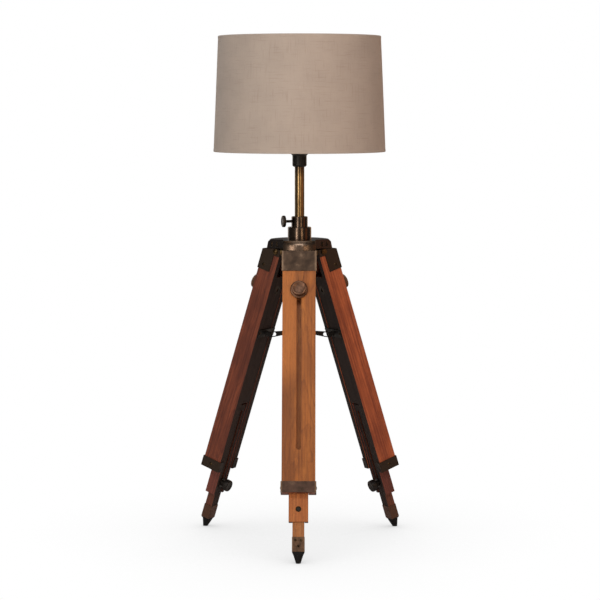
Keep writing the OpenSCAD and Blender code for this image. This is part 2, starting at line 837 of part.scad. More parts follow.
for (i = [0:2]) {
    leg = str("leg_", LEG_TAGS[i], "_");
    on_leg(i) leg_channel();
    on_leg(i) leg_cap();
    on_leg(i) leg_ferrule();
    on_leg(i) leg_bracket();
    on_leg(i) leg_screws();
    on_leg(i) leg_hinge_bolt();
    on_leg(i) leg_slider();
    on_leg(i) leg_inserts();
    on_leg(i) leg_knob();
    on_leg(i) leg_foot_knob();
    on_leg(i) leg_foot_stick();
    on_leg(i) leg_foot_ferrule();
    on_leg(i) leg_foot_screws();
    leg_foot_tip(i);
    leg_arm(i);
}
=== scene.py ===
"""Looks of a folding tripod table lamp: finishes, detailed pieces, studio and camera."""

import json
import logging
import math
from collections.abc import Callable
from dataclasses import dataclass, field
from enum import Enum
from functools import partial

import bmesh
import bpy
import numpy as np
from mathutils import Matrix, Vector
from numpy.typing import NDArray


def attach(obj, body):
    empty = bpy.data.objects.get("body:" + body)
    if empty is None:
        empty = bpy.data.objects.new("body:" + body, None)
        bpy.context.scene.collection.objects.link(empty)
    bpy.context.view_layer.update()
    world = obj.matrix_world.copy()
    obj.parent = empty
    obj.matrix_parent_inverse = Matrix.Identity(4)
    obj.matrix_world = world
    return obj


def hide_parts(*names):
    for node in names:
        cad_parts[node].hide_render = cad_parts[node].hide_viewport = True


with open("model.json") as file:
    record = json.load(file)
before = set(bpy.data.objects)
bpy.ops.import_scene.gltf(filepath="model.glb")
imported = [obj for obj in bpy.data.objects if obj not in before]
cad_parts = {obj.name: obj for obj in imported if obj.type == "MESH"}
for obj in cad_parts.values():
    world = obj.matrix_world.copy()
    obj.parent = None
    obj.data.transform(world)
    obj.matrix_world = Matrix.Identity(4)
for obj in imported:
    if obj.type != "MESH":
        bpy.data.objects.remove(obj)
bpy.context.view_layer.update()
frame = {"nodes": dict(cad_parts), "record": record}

log = logging.getLogger("tripod_lamp")

MM = 0.001
TURN = 2.0 * math.pi
# The wave texture repeats after this length of its space.
WAVE_LENGTH = TURN / 20.0
# On a CAD node, points closer than WELD, in metres, become one, and so do faces that meet at less
# than FLAT_DEG.
WELD = 2e-6
FLAT_DEG = 0.4

Points = NDArray[np.float64]
Colour = tuple[float, float, float, float]
Triple = tuple[float, float, float]
Span = tuple[float, float]
Wave = Callable[[Points, Points], Points]
Tree = bpy.types.NodeTree
Node = bpy.types.Node
Socket = bpy.types.NodeSocket
Material = bpy.types.Material
Values = dict[int | str, object]

# Settings that many nodes share.
SMOOTH = {"interpolation_type": "SMOOTHSTEP"}
COLOUR = {"data_type": "RGBA"}
TINT = {"data_type": "RGBA", "blend_type": "MULTIPLY"}
TIMES = {"operation": "MULTIPLY"}

# Where each CAD node belongs: its body.
BODIES = frame["record"]["behaviour"]["bodies"]
NODE_BODY = {node: body for body, nodes in BODIES.items() for node in nodes}


# ---------------------------------------------------------------- colours and nodes


def linear(code: str) -> Colour:
    """Turns an sRGB hex code into a linear colour.

    Args:
        code: the colour as "#rrggbb".

    Returns:
        Red, green, blue and an alpha of 1, in linear light.
    """
    values = [int(code[k : k + 2], 16) / 255.0 for k in (1, 3, 5)]
    red, green, blue = (v / 12.92 if v <= 0.04045 else ((v + 0.055) / 1.055) ** 2.4 for v in values)
    return red, green, blue, 1.0


def add(tree: Tree, kind: str, values: Values | None = None, **settings: object) -> Node:
    """Adds one shader node with its settings, values and links.

    Args:
        tree: the material's or world's node tree.
        kind: the node's type, without the leading "ShaderNode".
        values: for each input, by name or number, a number, a colour's hex code, or what is linked to
            it: an output socket, or a node, which stands for the first output that it uses.
        **settings: the node's own properties.

    Returns:
        The new node.
    """
    node = tree.nodes.new("ShaderNode" + kind)
    for key, value in settings.items():
        setattr(node, key, value)
    for key, value in (values or {}).items():
        if isinstance(value, Node):
            value = next(output for output in value.outputs if output.enabled)
        if isinstance(value, Socket):
            tree.links.new(value, node.inputs[key])
        else:
            node.inputs[key].default_value = linear(value) if isinstance(value, str) else value
    return node


def cloudy(
    tree: Tree, point: Node, size_mm: Triple, span: Span | None = None, most: float = 1.0, **noise: float
) -> Node | Socket:
    """Adds a cloudy pattern with cells of a real size.

    Args:
        tree: the material's node tree.
        point: the position in millimetres.
        size_mm: a cell's length along each axis.
        span: the values of the noise that become 0 and most, with a smooth ramp between them. Without
            it the noise is kept, which is about 0.3 to 0.7 over most of the surface.
        most: the highest value of the ramp.
        **noise: values for the noise node's inputs.

    Returns:
        The pattern's value.
    """
    scaled = add(tree, "Mapping", {"Vector": point, "Scale": tuple(1.0 / s for s in size_mm)})
    values = {"Vector": scaled, "Scale": 1.0, "Detail": 3.0, "Roughness": 0.55, **noise}
    clouds = add(tree, "TexNoise", values).outputs["Fac"]
    if span is None:
        return clouds
    ramp = {"Value": clouds, "From Min": span[0], "From Max": span[1], "To Max": most}
    return add(tree, "MapRange", ramp, **SMOOTH)


@dataclass(frozen=True)
class PatternFrame:
    """The frame, fixed to a piece, in which its pattern is measured in millimetres."""

    origin_mm: Triple = (0.0, 0.0, 0.0)
    turn: Triple = (0.0, 0.0, 0.0)

    def millimetres(self, tree: Tree) -> Node:
        """Adds the Object coordinate in this frame, in millimetres.

        Args:
            tree: the material's node tree.

        Returns:
            The node whose output is the position.
        """
        coords = add(tree, "TexCoord").outputs["Object"]
        origin = [v * MM for v in self.origin_mm]
        values = {"Vector": coords, "Location": origin, "Rotation": self.turn, "Scale": (MM, MM, MM)}
        return add(tree, "Mapping", values, vector_type="TEXTURE")

    def facing(self, tree: Tree) -> Node:
        """Adds how far a face points along the frame's X axis, which on a leg is outwards.

        Args:
            tree: the material's node tree.

        Returns:
            The node whose output is the cosine between the face's normal and that axis.
        """
        _, tilt, azimuth = self.turn
        outward = (math.cos(tilt) * math.cos(azimuth), math.cos(tilt) * math.sin(azimuth), -math.sin(tilt))
        normal = add(tree, "TexCoord").outputs["Normal"]
        return add(tree, "VectorMath", {0: normal, 1: outward}, operation="DOT_PRODUCT")


LAMP_FRAME = PatternFrame()


# ---------------------------------------------------------------- finishes


@dataclass(frozen=True)
class Finish:
    """A real material and how its surface was made. Each kind of finish says how it is drawn."""

    title: str

    def surface(self, tree: Tree, place: PatternFrame) -> Values:
        """Adds the nodes of the finish.

        Args:
            tree: the material's node tree.
            place: the frame that the pattern is measured in.

        Returns:
            For each of the Principled shader's inputs that the finish sets, a value or what it is
            linked to.
        """
        raise NotImplementedError

    def material(self, place: PatternFrame = LAMP_FRAME) -> Material:
        """Makes the finish's material.

        Args:
            place: the frame that the pattern is measured in.

        Returns:
            The new material.
        """
        material = bpy.data.materials.new(self.title)
        material.use_nodes = True
        tree = material.node_tree
        tree.nodes.clear()
        shader = add(tree, "BsdfPrincipled", self.surface(tree, place))
        add(tree, "OutputMaterial", {"Surface": shader})
        return material


@dataclass(frozen=True)
class OiledHardwood(Finish):
    """Plain-sawn hardwood board, stained and oiled.

    That gives the eye a flame figure, dark latewood lines, open pores and a satin sheen.
    """

    face: str = "#ac662b"
    late: str = "#6f3c18"
    pale: str = "#bb7432"
    sapwood: str = "#bd7335"
    # The side colours are the wood's tone with painted shade; the inner colours are painted shade.
    side_colour_and_shade: str = "#84442f"
    side_late_and_shade: str = "#52291f"
    inner: str = "#3a2e2a"
    inner_late: str = "#28201e"
    pore: str = "#331b13"
    ring_mm: float = 3.3
    pith_mm: Triple = (-38.0, 3.0, 0.0)
    run_out: float = 0.035
    roughness: float = 0.5
    heart: Span | None = None

    def rings(self, tree: Tree, mm: Node) -> Node:
        """Adds the growth rings: cylinders round a pith that lies behind the board and leans a little.

        Args:
            tree: the material's node tree.
            mm: the position in the board's frame in millimetres.

        Returns:
            How dark the wood is there, from early wood (0) to the end of a ring (1).
        """
        node = partial(add, tree)
        wander = cloudy(tree, mm, (26.0, 26.0, 85.0), Detail=2.0)
        sway = node("MapRange", {"Value": wander, "To Min": -8.0, "To Max": 8.0})
        offset = node("CombineXYZ", {0: sway, 1: sway})
        swayed = node("VectorMath", {0: mm, 1: offset}, operation="ADD")
        pitch = WAVE_LENGTH / self.ring_mm
        pith = {"Location": tuple(-p * pitch for p in self.pith_mm), "Rotation": (0.0, self.run_out, 0.0)}
        about_pith = node("Mapping", {"Vector": swayed, "Scale": (pitch,) * 3, **pith})
        values = {"Vector": about_pith, "Scale": 1.0, "Distortion": 0.6, "Detail": 2.0, "Detail Scale": 1.4}
        saw = {"wave_type": "RINGS", "rings_direction": "Z", "wave_profile": "SAW"}
        grown = node("TexWave", values, **saw).outputs["Fac"]
        return node("MapRange", {"Value": grown, "From Min": 0.5, "From Max": 1.0}, **SMOOTH)

    def heartwood(self, tree: Tree, mm: Node) -> tuple[Node, Node]:
        """Adds the darker heartwood, which comes in on one side of the board below a height.

        Args:
            tree: the material's node tree.
            mm: the position in the board's frame in millimetres.

        Returns:
            The share of heartwood there, and the share of the paler sapwood above it.
        """
        node = partial(add, tree)
        side, height = self.heart
        axes = node("SeparateXYZ", {0: mm}).outputs
        wander = cloudy(tree, mm, (9.0, 9.0, 60.0))
        sway = node("MapRange", {"Value": wander, "To Min": -12.0, "To Max": 12.0})
        across = node("Math", {0: axes[1], 1: side, 2: sway}, operation="MULTIPLY_ADD")
        beside = node("MapRange", {"Value": across, "From Min": -2.0, "From Max": 11.0}, **SMOOTH)
        low = node("MapRange", {"Value": axes[2], "From Min": height, "From Max": height - 55.0}, **SMOOTH)
        dark = node("Math", {0: beside, 1: low}, **TIMES)
        return dark, node("Math", {0: beside, 1: dark}, operation="SUBTRACT")

    def surface(self, tree: Tree, place: PatternFrame) -> Values:
        """Adds the wood, whose grain runs along the frame's Z axis.

        Args:
            tree: the material's node tree.
            place: the board's frame.

        Returns:
            The shader's inputs.
        """
        node = partial(add, tree)
        mm = place.millimetres(tree)
        # Streaks of 2 to 3 mm show at this distance; real ones are a little finer.
        streak = cloudy(tree, mm, (2.8, 2.8, 130.0), (0.30, 0.68), Detail=4.0, Roughness=0.6)
        fine = cloudy(tree, mm, (0.9, 0.9, 30.0), Detail=2.0)
        pore = cloudy(tree, mm, (0.45, 0.45, 6.5), (0.60, 0.72), Detail=1.0)
        broad = cloudy(tree, mm, (15.0, 15.0, 120.0), (0.40, 0.66), Detail=2.0)
        dull = cloudy(tree, mm, (24.0, 24.0, 70.0), (0.40, 0.62), 0.5)
        darkness = node("Math", {0: self.rings(tree, mm), 1: 0.3}, **TIMES)
        light = node("Math", {0: streak, 1: 0.62, 2: 0.38}, operation="MULTIPLY_ADD")
        bright = node("Math", {0: light, 1: darkness}, operation="SUBTRACT")
        level = node("Math", {0: bright, 1: 0.0}, operation="MAXIMUM")

        plain = node("Mix", {0: level, 6: self.late, 7: self.face}, **COLOUR)
        paler = node("Mix", {0: level, 6: self.late, 7: self.pale}, **COLOUR)
        front = node("Mix", {0: broad, 6: plain, 7: paler}, **COLOUR)
        stained = node("Math", {0: dull, 1: 0.7}, **TIMES)
        front = node("Mix", {0: stained, 6: front, 7: self.late}, **COLOUR)
        if self.heart:
            for share, tone in zip(self.heartwood(tree, mm), (self.late, self.sapwood)):
                part = node("Math", {0: share, 1: 0.6}, **TIMES)
                front = node("Mix", {0: part, 6: front, 7: tone}, **COLOUR)

        # Painted shade: the colour is darker on faces turned to the side, where it is partly the wood's own
        # tone, and darkest on the inner side, which lies in shade.
        facing = place.facing(tree)
        side = node("Mix", {0: level, 6: self.side_late_and_shade, 7: self.side_colour_and_shade}, **COLOUR)
        side = node("Mix", {0: dull, 6: side, 7: self.side_late_and_shade}, **COLOUR)
        back = node("Mix", {0: level, 6: self.inner_late, 7: self.inner}, **COLOUR)
        outer = node("MapRange", {"Value": facing, "From Min": 0.35, "From Max": 0.85}, **SMOOTH)
        inner = node("MapRange", {"Value": facing, "From Min": -0.35, "From Max": -0.85}, **SMOOTH)
        colour = node("Mix", {0: outer, 6: side, 7: front}, **COLOUR)
        colour = node("Mix", {0: inner, 6: colour, 7: back}, **COLOUR)
        shade = {"Value": fine, "From Min": 0.3, "From Max": 0.7, "To Min": 0.88, "To Max": 1.08}
        grey = node("MapRange", shade)
        grey = node("CombineColor", {0: grey, 1: grey, 2: grey})
        colour = node("Mix", {0: 1.0, 6: colour, 7: grey}, **TINT)
        filled = node("Math", {0: pore, 1: 0.34}, **TIMES)
        colour = node("Mix", {0: filled, 6: colour, 7: self.pore}, **COLOUR)

        sawn = {"Value": facing, "From Min": -0.8, "From Max": -0.3, "To Min": 0.3, "To Max": 0.0}
        gloss = {"Value": fine, "To Min": self.roughness - 0.08, "To Max": self.roughness + 0.14}
        rough = node("Math", {0: node("MapRange", gloss), 1: node("MapRange", sawn)}, operation="ADD")
        raised = node("Math", {0: fine, 1: 0.5}, **TIMES)
        height = node("Math", {0: raised, 1: pore}, operation="SUBTRACT")
        bump = node("Bump", {"Strength": 0.5, "Distance": 0.12 * MM, "Height": height})
        return {"Base Color": colour, "Roughness": rough, "Normal": bump, "Specular IOR Level": 0.3}


@dataclass(frozen=True)
class AgedMetal(Finish):
    """Brass, bronze or steel darkened by age.

    That gives the eye a cloudy patina, small specks, and rubbed places that shine a little more.
    A stripe given as (axis, from, to) in mm, on both sides of the frame, takes the given colour, or the
    rubbed one when none is given: on a fitting it is a painted highlight with some wear along its sides,
    and on the tube it darkens the top. The faces that don't point outwards or, on a casting with arms,
    those between its arms, are darkened with painted shade.
    """

    base: str = "#48382b"
    dark: str = "#372b22"
    rubbed: str = "#7a6450"
    cloud_mm: Triple = (14.0, 14.0, 14.0)
    speck_mm: float = 1.3
    grain_mm: Triple = (0.5, 0.5, 0.5)
    grain_depth_mm: float = 0.02
    roughness: float = 0.42
    spread: float = 0.12
    metallic: float = 1.0
    band: tuple[int, float, float] | None = None
    band_colour: str = ""
    side_colour_and_shade: str = ""
    arms: int = 0

    def unshaded_share(self, tree: Tree, mm: Node, place: PatternFrame) -> Node:
        """Adds the share left unshaded: the outward face's, or that of the faces in front of the arms.

        Args:
            tree: the material's node tree.
            mm: the position in the frame in millimetres.
            place: the frame.

        Returns:
            1 where the metal keeps its colour, and 0 where painted shade darkens it.
        """
        node = partial(add, tree)
        if not self.arms:
            facing = place.facing(tree)
            return node("MapRange", {"Value": facing, "From Min": 0.35, "From Max": 0.8}, **SMOOTH)
        # The sine of the number of arms times the angle round Z is above 0 in front of each arm.
        axes = node("SeparateXYZ", {0: mm}).outputs
        angle = node("Math", {0: axes[1], 1: axes[0]}, operation="ARCTAN2")
        turns = node("Math", {0: angle, 1: float(self.arms)}, **TIMES)
        lobe = node("Math", {0: turns}, operation="SINE")
        return node("MapRange", {"Value": lobe, "From Min": -0.1, "From Max": 0.1}, **SMOOTH)

    def surface(self, tree: Tree, place: PatternFrame) -> Values:
        """Adds the metal.

        Args:
            tree: the material's node tree.
            place: the frame that its patina is measured in.

        Returns:
            The shader's inputs.
        """
        node = partial(add, tree)
        mm = place.millimetres(tree)
        cloud = cloudy(tree, mm, self.cloud_mm, Detail=5.0, Roughness=0.62)
        spots = cloudy(tree, mm, (self.speck_mm,) * 3, (0.60, 0.72), 0.35, Detail=2.0)
        grain = cloudy(tree, mm, self.grain_mm, Detail=2.0)
        aged = node("MapRange", {"Value": cloud, "From Min": 0.28, "From Max": 0.62}, **SMOOTH)
        worn = {"Value": cloud, "From Min": 0.54, "From Max": 0.78, "To Max": 0.4}
        colour = node("Mix", {0: aged, 6: self.dark, 7: self.base}, **COLOUR)
        colour = node("Mix", {0: node("MapRange", worn, **SMOOTH), 6: colour, 7: self.rubbed}, **COLOUR)
        colour = node("Mix", {0: spots, 6: colour, 7: self.dark}, **COLOUR)
        # A stripe on both sides of the frame: a painted highlight with some wear on a fitting's sides, a
        # darker top on the tube.
        if self.band:
            axis, start, end = self.band
            across = node("Math", {0: node("SeparateXYZ", {0: mm}).outputs[axis]}, operation="ABSOLUTE")
            edge = {"Value": across, "From Min": start, "From Max": end, "To Max": 0.8}
            tone = self.band_colour or self.rubbed
            colour = node("Mix", {0: node("MapRange", edge, **SMOOTH), 6: colour, 7: tone}, **COLOUR)
        # Painted shade: the faces that don't point outwards are mixed towards a dark colour; on a casting
        # with arms, those between its arms are.
        if self.side_colour_and_shade:
            kept = 0.1 if self.arms else 0.2
            patina = node("Mix", {0: kept, 6: self.side_colour_and_shade, 7: colour}, **COLOUR)
            colour = node("Mix", {0: self.unshaded_share(tree, mm, place), 6: patina, 7: colour}, **COLOUR)
        ends = {"To Min": self.roughness + self.spread, "To Max": self.roughness - self.spread}
        rough = node("MapRange", {"Value": cloud, "From Min": 0.3, "From Max": 0.7, **ends})
        bump = node("Bump", {"Strength": 0.6, "Distance": self.grain_depth_mm * MM, "Height": grain})
        return {"Base Color": colour, "Roughness": rough, "Normal": bump, "Metallic": self.metallic}


@dataclass(frozen=True)
class MouldedPlastic(Finish):
    """Bakelite, rubber, styrene or glazed porcelain.

    That gives the eye one body colour with faint flow marks, and a satin or matt skin from the mould.
    """

    base: str = "#191817"
    flow: str = "#23211f"
    roughness: float = 0.38
    texture_mm: float = 0.6
    depth_mm: float = 0.015
    ior: float = 1.55
    specular: float = 0.5

    def surface(self, tree: Tree, place: PatternFrame) -> Values:
        """Adds the plastic, with a faint texture from the mould.

        Args:
            tree: the material's node tree.
            place: the frame that its texture is measured in.

        Returns:
            The shader's inputs.
        """
        node = partial(add, tree)
        mm = place.millimetres(tree)
        flow = cloudy(tree, mm, (9.0, 9.0, 22.0))
        skin = cloudy(tree, mm, (self.texture_mm,) * 3, Detail=2.0)
        marks = node("MapRange", {"Value": flow, "From Min": 0.38, "From Max": 0.66}, **SMOOTH)
        colour = node("Mix", {0: marks, 6: self.base, 7: self.flow}, **COLOUR)
        ends = {"To Min": self.roughness - 0.05, "To Max": self.roughness + 0.08}
        rough = node("MapRange", {"Value": flow, "From Min": 0.3, "From Max": 0.7, **ends})
        bump = node("Bump", {"Strength": 0.5, "Distance": self.depth_mm * MM, "Height": skin})
        fixed = {"IOR": self.ior, "Specular IOR Level": self.specular}
        return {"Base Color": colour, "Roughness": rough, "Normal": bump, **fixed}


@dataclass(frozen=True)
class OpalGlass(Finish):
    """Blown glass with a white coat inside.

    That gives the eye a milky, even white under a clear gloss.
    """

    thin: str = "#ece8de"
    thick: str = "#f6f3ec"

    def surface(self, tree: Tree, place: PatternFrame) -> Values:
        """Adds the glass, a little warmer and thinner in cloudy patches.

        Args:
            tree: the material's node tree.
            place: the frame that its patches are measured in.

        Returns:
            The shader's inputs.
        """
        node = partial(add, tree)
        cloud = cloudy(tree, place.millimetres(tree), (16.0, 16.0, 16.0))
        patch = node("MapRange", {"Value": cloud, "From Min": 0.35, "From Max": 0.68}, **SMOOTH)
        colour = node("Mix", {0: patch, 6: self.thin, 7: self.thick}, **COLOUR)
        rough = node("MapRange", {"Value": cloud, "To Min": 0.06, "To Max": 0.14})
        coat = {"IOR": 1.5, "Subsurface Weight": 0.25, "Subsurface Radius": (0.004, 0.004, 0.003)}
        return {"Base Color": colour, "Roughness": rough, **coat}


@dataclass(frozen=True)
class SlubLinen(Finish):
    """Plain-woven linen stuck to a liner.

    That gives the eye uneven slub threads both ways, dry and matt, with a soft sheen at the edges.
    """

    warp: str = "#bdb0a6"
    weft: str = "#a69a90"
    thick: str = "#8a786c"
    thread_mm: float = 1.1

    def surface(self, tree: Tree, place: PatternFrame) -> Values:
        """Adds the cloth on the piece's own UV map, which is in metres along and across the cloth.

        Args:
            tree: the material's node tree.
            place: not read, because the weave follows the cloth.

        Returns:
            The shader's inputs.
        """
        node = partial(add, tree)
        uv = node("TexCoord").outputs["UV"]
        mm = node("Mapping", {"Vector": uv, "Scale": (1000.0, 1000.0, 1000.0)})
        # The threads are about 0.6 mm in the cloth, and are drawn at 1.1 mm so that they show.
        pitch = WAVE_LENGTH / self.thread_mm
        spaced = node("Mapping", {"Vector": mm, "Scale": (pitch,) * 3})
        wave = {"Vector": spaced, "Scale": 1.0, "Distortion": 1.6, "Detail": 2.0, "Detail Scale": 0.7}
        upright = node("TexWave", wave, bands_direction="X").outputs["Fac"]
        level = node("TexWave", wave, bands_direction="Y").outputs["Fac"]
        slub_up = cloudy(tree, mm, (1.5, 34.0, 5.0), (0.56, 0.70))
        slub_on = cloudy(tree, mm, (34.0, 1.5, 5.0), (0.56, 0.70))
        cloud = cloudy(tree, mm, (40.0, 40.0, 40.0), Detail=4.0)
        colour = node("Mix", {0: upright, 6: self.weft, 7: self.warp}, **COLOUR)
        crossing = node("Math", {0: level, 1: 0.5}, **TIMES)
        colour = node("Mix", {0: crossing, 6: colour, 7: self.weft}, **COLOUR)
        for slub in (slub_up, slub_on):
            darker = node("Math", {0: slub, 1: 0.26}, **TIMES)
            colour = node("Mix", {0: darker, 6: colour, 7: self.thick}, **COLOUR)
        shade = {"Value": cloud, "From Min": 0.3, "From Max": 0.7, "To Min": 0.95, "To Max": 1.05}
        grey = node("MapRange", shade)
        grey = node("CombineColor", {0: grey, 1: grey, 2: grey})
        colour = node("Mix", {0: 1.0, 6: colour, 7: grey}, **TINT)
        weave = node("Math", {0: upright, 1: level}, operation="ADD")
        slubs = node("Math", {0: slub_up, 1: slub_on}, operation="ADD")
        height = node("Math", {0: weave, 1: slubs}, operation="ADD")
        bump = node("Bump", {"Strength": 0.55, "Distance": 0.2 * MM, "Height": height})
        dry = {"Roughness": 0.92, "Sheen Weight": 0.15, "Sheen Roughness": 0.5, "Specular IOR Level": 0.3}
        return {"Base Color": colour, "Normal": bump, **dry}


# ---------------------------------------------------------------- surfaces


class Ends(Enum):
    """How a turned profile ends: on the axis at both ends, or in a closed loop round a hollow."""

    ON_AXIS = "on_axis"
    LOOP = "loop"


@dataclass
class Surface:
    """Points in millimetres, faces as lists of indices, and one UV pair for each face corner."""

    points: Points
    faces: list[list[int]]
    corners: list[list[float]]

    def moved(self, matrix: Points) -> "Surface":
        """Returns the surface carried by a 4 by 4 matrix."""
        return Surface(self.points @ matrix[:3, :3].T + matrix[:3, 3], self.faces, self.corners)


def turned(
    profile: Points, steps: int, ends: Ends, wave: Wave | None = None, waved: slice = slice(None)
) -> Surface:
    """Turns a profile round Z: x = r cos(a), y = r sin(a), z = h, with r = profile radius + wave(a, h).

    Args:
        profile: rows of (radius, height) in millimetres.
        steps: how many columns go round.
        ends: whether the profile starts and ends on the axis or is a closed loop.
        wave: an amount added to the radius, worked out from the grids of angle and height.
        waved: the rows that the wave moves.

    Returns:
        The closed surface. Its UV map is the share of a turn, and the way along the profile.
    """
    angle = np.linspace(0.0, TURN, steps, endpoint=False)
    rows = profile[1:-1] if ends is Ends.ON_AXIS else profile
    radius = np.repeat(rows[:, :1], steps, axis=1)
    height = np.repeat(rows[:, 1:], steps, axis=1)
    around = np.repeat(angle[None, :], len(rows), axis=0)
    if wave:
        radius[waved] += wave(around[waved], height[waved])
    points = np.stack([radius * np.cos(around), radius * np.sin(around), height], axis=-1).reshape(-1, 3)
    count = len(rows)
    bands = count if ends is Ends.LOOP else count - 1
    i, j = np.meshgrid(np.arange(bands), np.arange(steps), indexing="ij")
    next_i, next_j = (i + 1) % count, (j + 1) % steps
    quads = [i * steps + j, i * steps + next_j, next_i * steps + next_j, next_i * steps + j]
    faces = np.stack(quads, axis=-1).reshape(-1, 4).tolist()
    leaps = np.hypot(*np.diff(np.vstack([rows, rows[:1]]), axis=0).T)
    length = np.concatenate([[0.0], np.cumsum(leaps)])
    u = np.stack([j, j + 1, j + 1, j], axis=-1).reshape(-1, 4) / steps
    v = np.stack([length[i], length[i], length[i + 1], length[i + 1]], axis=-1).reshape(-1, 4)
    corners = np.stack([u, v], axis=-1).reshape(-1, 2).tolist()
    if ends is Ends.ON_AXIS:
        base, last = len(points), (count - 1) * steps
        points = np.vstack([points, [[0.0, 0.0, profile[0, 1]], [0.0, 0.0, profile[-1, 1]]]])
        k = np.arange(steps)
        after = (k + 1) % steps
        faces += np.stack([np.full(steps, base), after, k], axis=-1).tolist()
        faces += np.stack([np.full(steps, base + 1), last + k, last + after], axis=-1).tolist()
        corners += [[0.0, 0.0]] * (6 * steps)
    return Surface(points, faces, corners)


def turn_about(axis: int, angle: float) -> Points:
    """Works out a turn about an axis, by the right-hand rule.

    Args:
        axis: 0, 1 or 2 for X, Y or Z.
        angle: the turn in radians.

    Returns:
        The 4 by 4 matrix.
    """
    matrix = np.eye(4)
    a, b = (axis + 1) % 3, (axis + 2) % 3
    matrix[a, a] = matrix[b, b] = math.cos(angle)
    matrix[a, b], matrix[b, a] = -math.sin(angle), math.sin(angle)
    return matrix


def shift(x: float = 0.0, y: float = 0.0, z: float = 0.0) -> Points:
    """Works out a move.

    Args:
        x: the distance along X in millimetres.
        y: the distance along Y.
        z: the distance along Z.

    Returns:
        The 4 by 4 matrix.
    """
    matrix = np.eye(4)
    matrix[:3, 3] = (x, y, z)
    return matrix


def joined(parts: list[Surface]) -> Surface:
    """Puts several surfaces into one.

    Args:
        parts: the surfaces.

    Returns:
        One surface with the points, faces and corners of all, in the same order.
    """
    faces, corners, start = [], [], 0
    for part in parts:
        faces += [[index + start for index in face] for face in part.faces]
        corners += part.corners
        start += len(part.points)
    return Surface(np.vstack([part.points for part in parts]), faces, corners)


def make_mesh(name: str, surface: Surface, material: Material, sharp_deg: float = 35.0) -> bpy.types.Object:
    """Makes an object at the origin from a surface.

    Args:
        name: the piece's name.
        surface: its points, faces and face corners.
        material: what it is made of.
        sharp_deg: edges sharper than this stay sharp.

    Returns:
        The linked object, with closed outward faces and a UV map.
    """
    mesh = bpy.data.meshes.new(name)
    mesh.from_pydata((surface.points * MM).tolist(), [], surface.faces)
    layer = mesh.uv_layers.new(name="UVMap")
    layer.data.foreach_set("uv", np.asarray(surface.corners, np.float32).ravel())
    work = bmesh.new()
    work.from_mesh(mesh)
    bmesh.ops.recalc_face_normals(work, faces=work.faces)
    work.to_mesh(mesh)
    work.free()
    mesh.shade_smooth()
    mesh.set_sharp_from_angle(angle=math.radians(sharp_deg))
    mesh.materials.append(material)
    piece = bpy.data.objects.new(name, mesh)
    bpy.context.scene.collection.objects.link(piece)
    return piece


def put_on(piece: bpy.types.Object, *nodes: str) -> bpy.types.Object:
    """Makes a piece ride with the first node's body and stand for all the nodes, which it hides.

    Args:
        piece: the new piece.
        *nodes: the CAD nodes that it stands for.

    Returns:
        The piece.
    """
    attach(piece, NODE_BODY[nodes[0]])
    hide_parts(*nodes)
    log.info("%s: %d faces, for %s", piece.name, len(piece.data.polygons), ", ".join(nodes))
    return piece


def eased(
    node: str, radius_mm: float, materials: list[Material], edge_slot: int = -1, angle_deg: float = 40.0
) -> bpy.types.Object:
    """Copies a CAD node and eases its sharp edges, as a file, a router or a press leaves them.

    Args:
        node: the CAD node.
        radius_mm: the width of the eased edge.
        materials: the piece's materials, in the order of its slots.
        edge_slot: which of them the eased edges take, or -1 for the same as beside them.
        angle_deg: edges sharper than this are eased.

    Returns:
        The piece, which stands for the node.
    """
    work = bmesh.new()
    work.from_mesh(frame["nodes"][node].data)
    bmesh.ops.remove_doubles(work, verts=work.verts, dist=WELD)
    bmesh.ops.dissolve_limit(work, angle_limit=math.radians(FLAT_DEG), verts=work.verts, edges=work.edges)
    mesh = bpy.data.meshes.new(node + "_eased")
    work.to_mesh(mesh)
    work.free()
    for extra in [a.name for a in mesh.attributes if a.name == "custom_normal"]:
        mesh.attributes.remove(mesh.attributes[extra])
    mesh.materials.clear()
    for material in materials:
        mesh.materials.append(material)
    mesh.polygons.foreach_set("material_index", np.zeros(len(mesh.polygons), np.int32))
    mesh.shade_smooth()
    mesh.set_sharp_from_angle(angle=math.radians(angle_deg))
    piece = bpy.data.objects.new(node + "_eased", mesh)
    bpy.context.scene.collection.objects.link(piece)
    bevel = piece.modifiers.new("Eased edges", "BEVEL")
    bevel.width = radius_mm * MM
    bevel.segments = 2
    bevel.limit_method = "ANGLE"
    bevel.angle_limit = math.radians(angle_deg)
    bevel.use_clamp_overlap = True
    bevel.harden_normals = True
    bevel.material = edge_slot
    return put_on(piece, node)


def dress(node: str, material: Material) -> None:
    """Gives a CAD node a material and leaves its shape as it is.

    Args:
        node: the CAD node.
        material: what it is made of.
    """
    materials = frame["nodes"][node].data.materials
    materials.clear()
    materials.append(material)
    log.info("%s keeps its shape", node)


def within(height: Points, low: float, high: float, run_in: float, run_out: float) -> Points:
    """Returns 1 between two heights and 0 outside them, with a ramp just inside each."""
    return np.clip((height - low) / run_in, 0.0, 1.0) * np.clip((high - height) / run_out, 0.0, 1.0)


def ridges(count: int, depth: float, low: float, high: float, fade: float = 0.4) -> Wave:
    """Makes straight knurling between two heights.

    The radius falls by depth * ((1 - cos(count * angle)) / 2)^1.5, so the ridges are broader than the
    grooves.

    Args:
        count: how many ridges go round.
        depth: a groove's depth in millimetres.
        low: the height where the ridges start.
        high: the height where they end.
        fade: the length over which they die out at both ends.

    Returns:
        The wave for turned().
    """

    def wave(angle: Points, height: Points) -> Points:
        """Returns the groove's depth, with a minus, on the grids of angle and height."""
        groove = (0.5 - 0.5 * np.cos(count * angle)) ** 1.5
        return -depth * within(height, low, high, fade, fade) * groove

    return wave


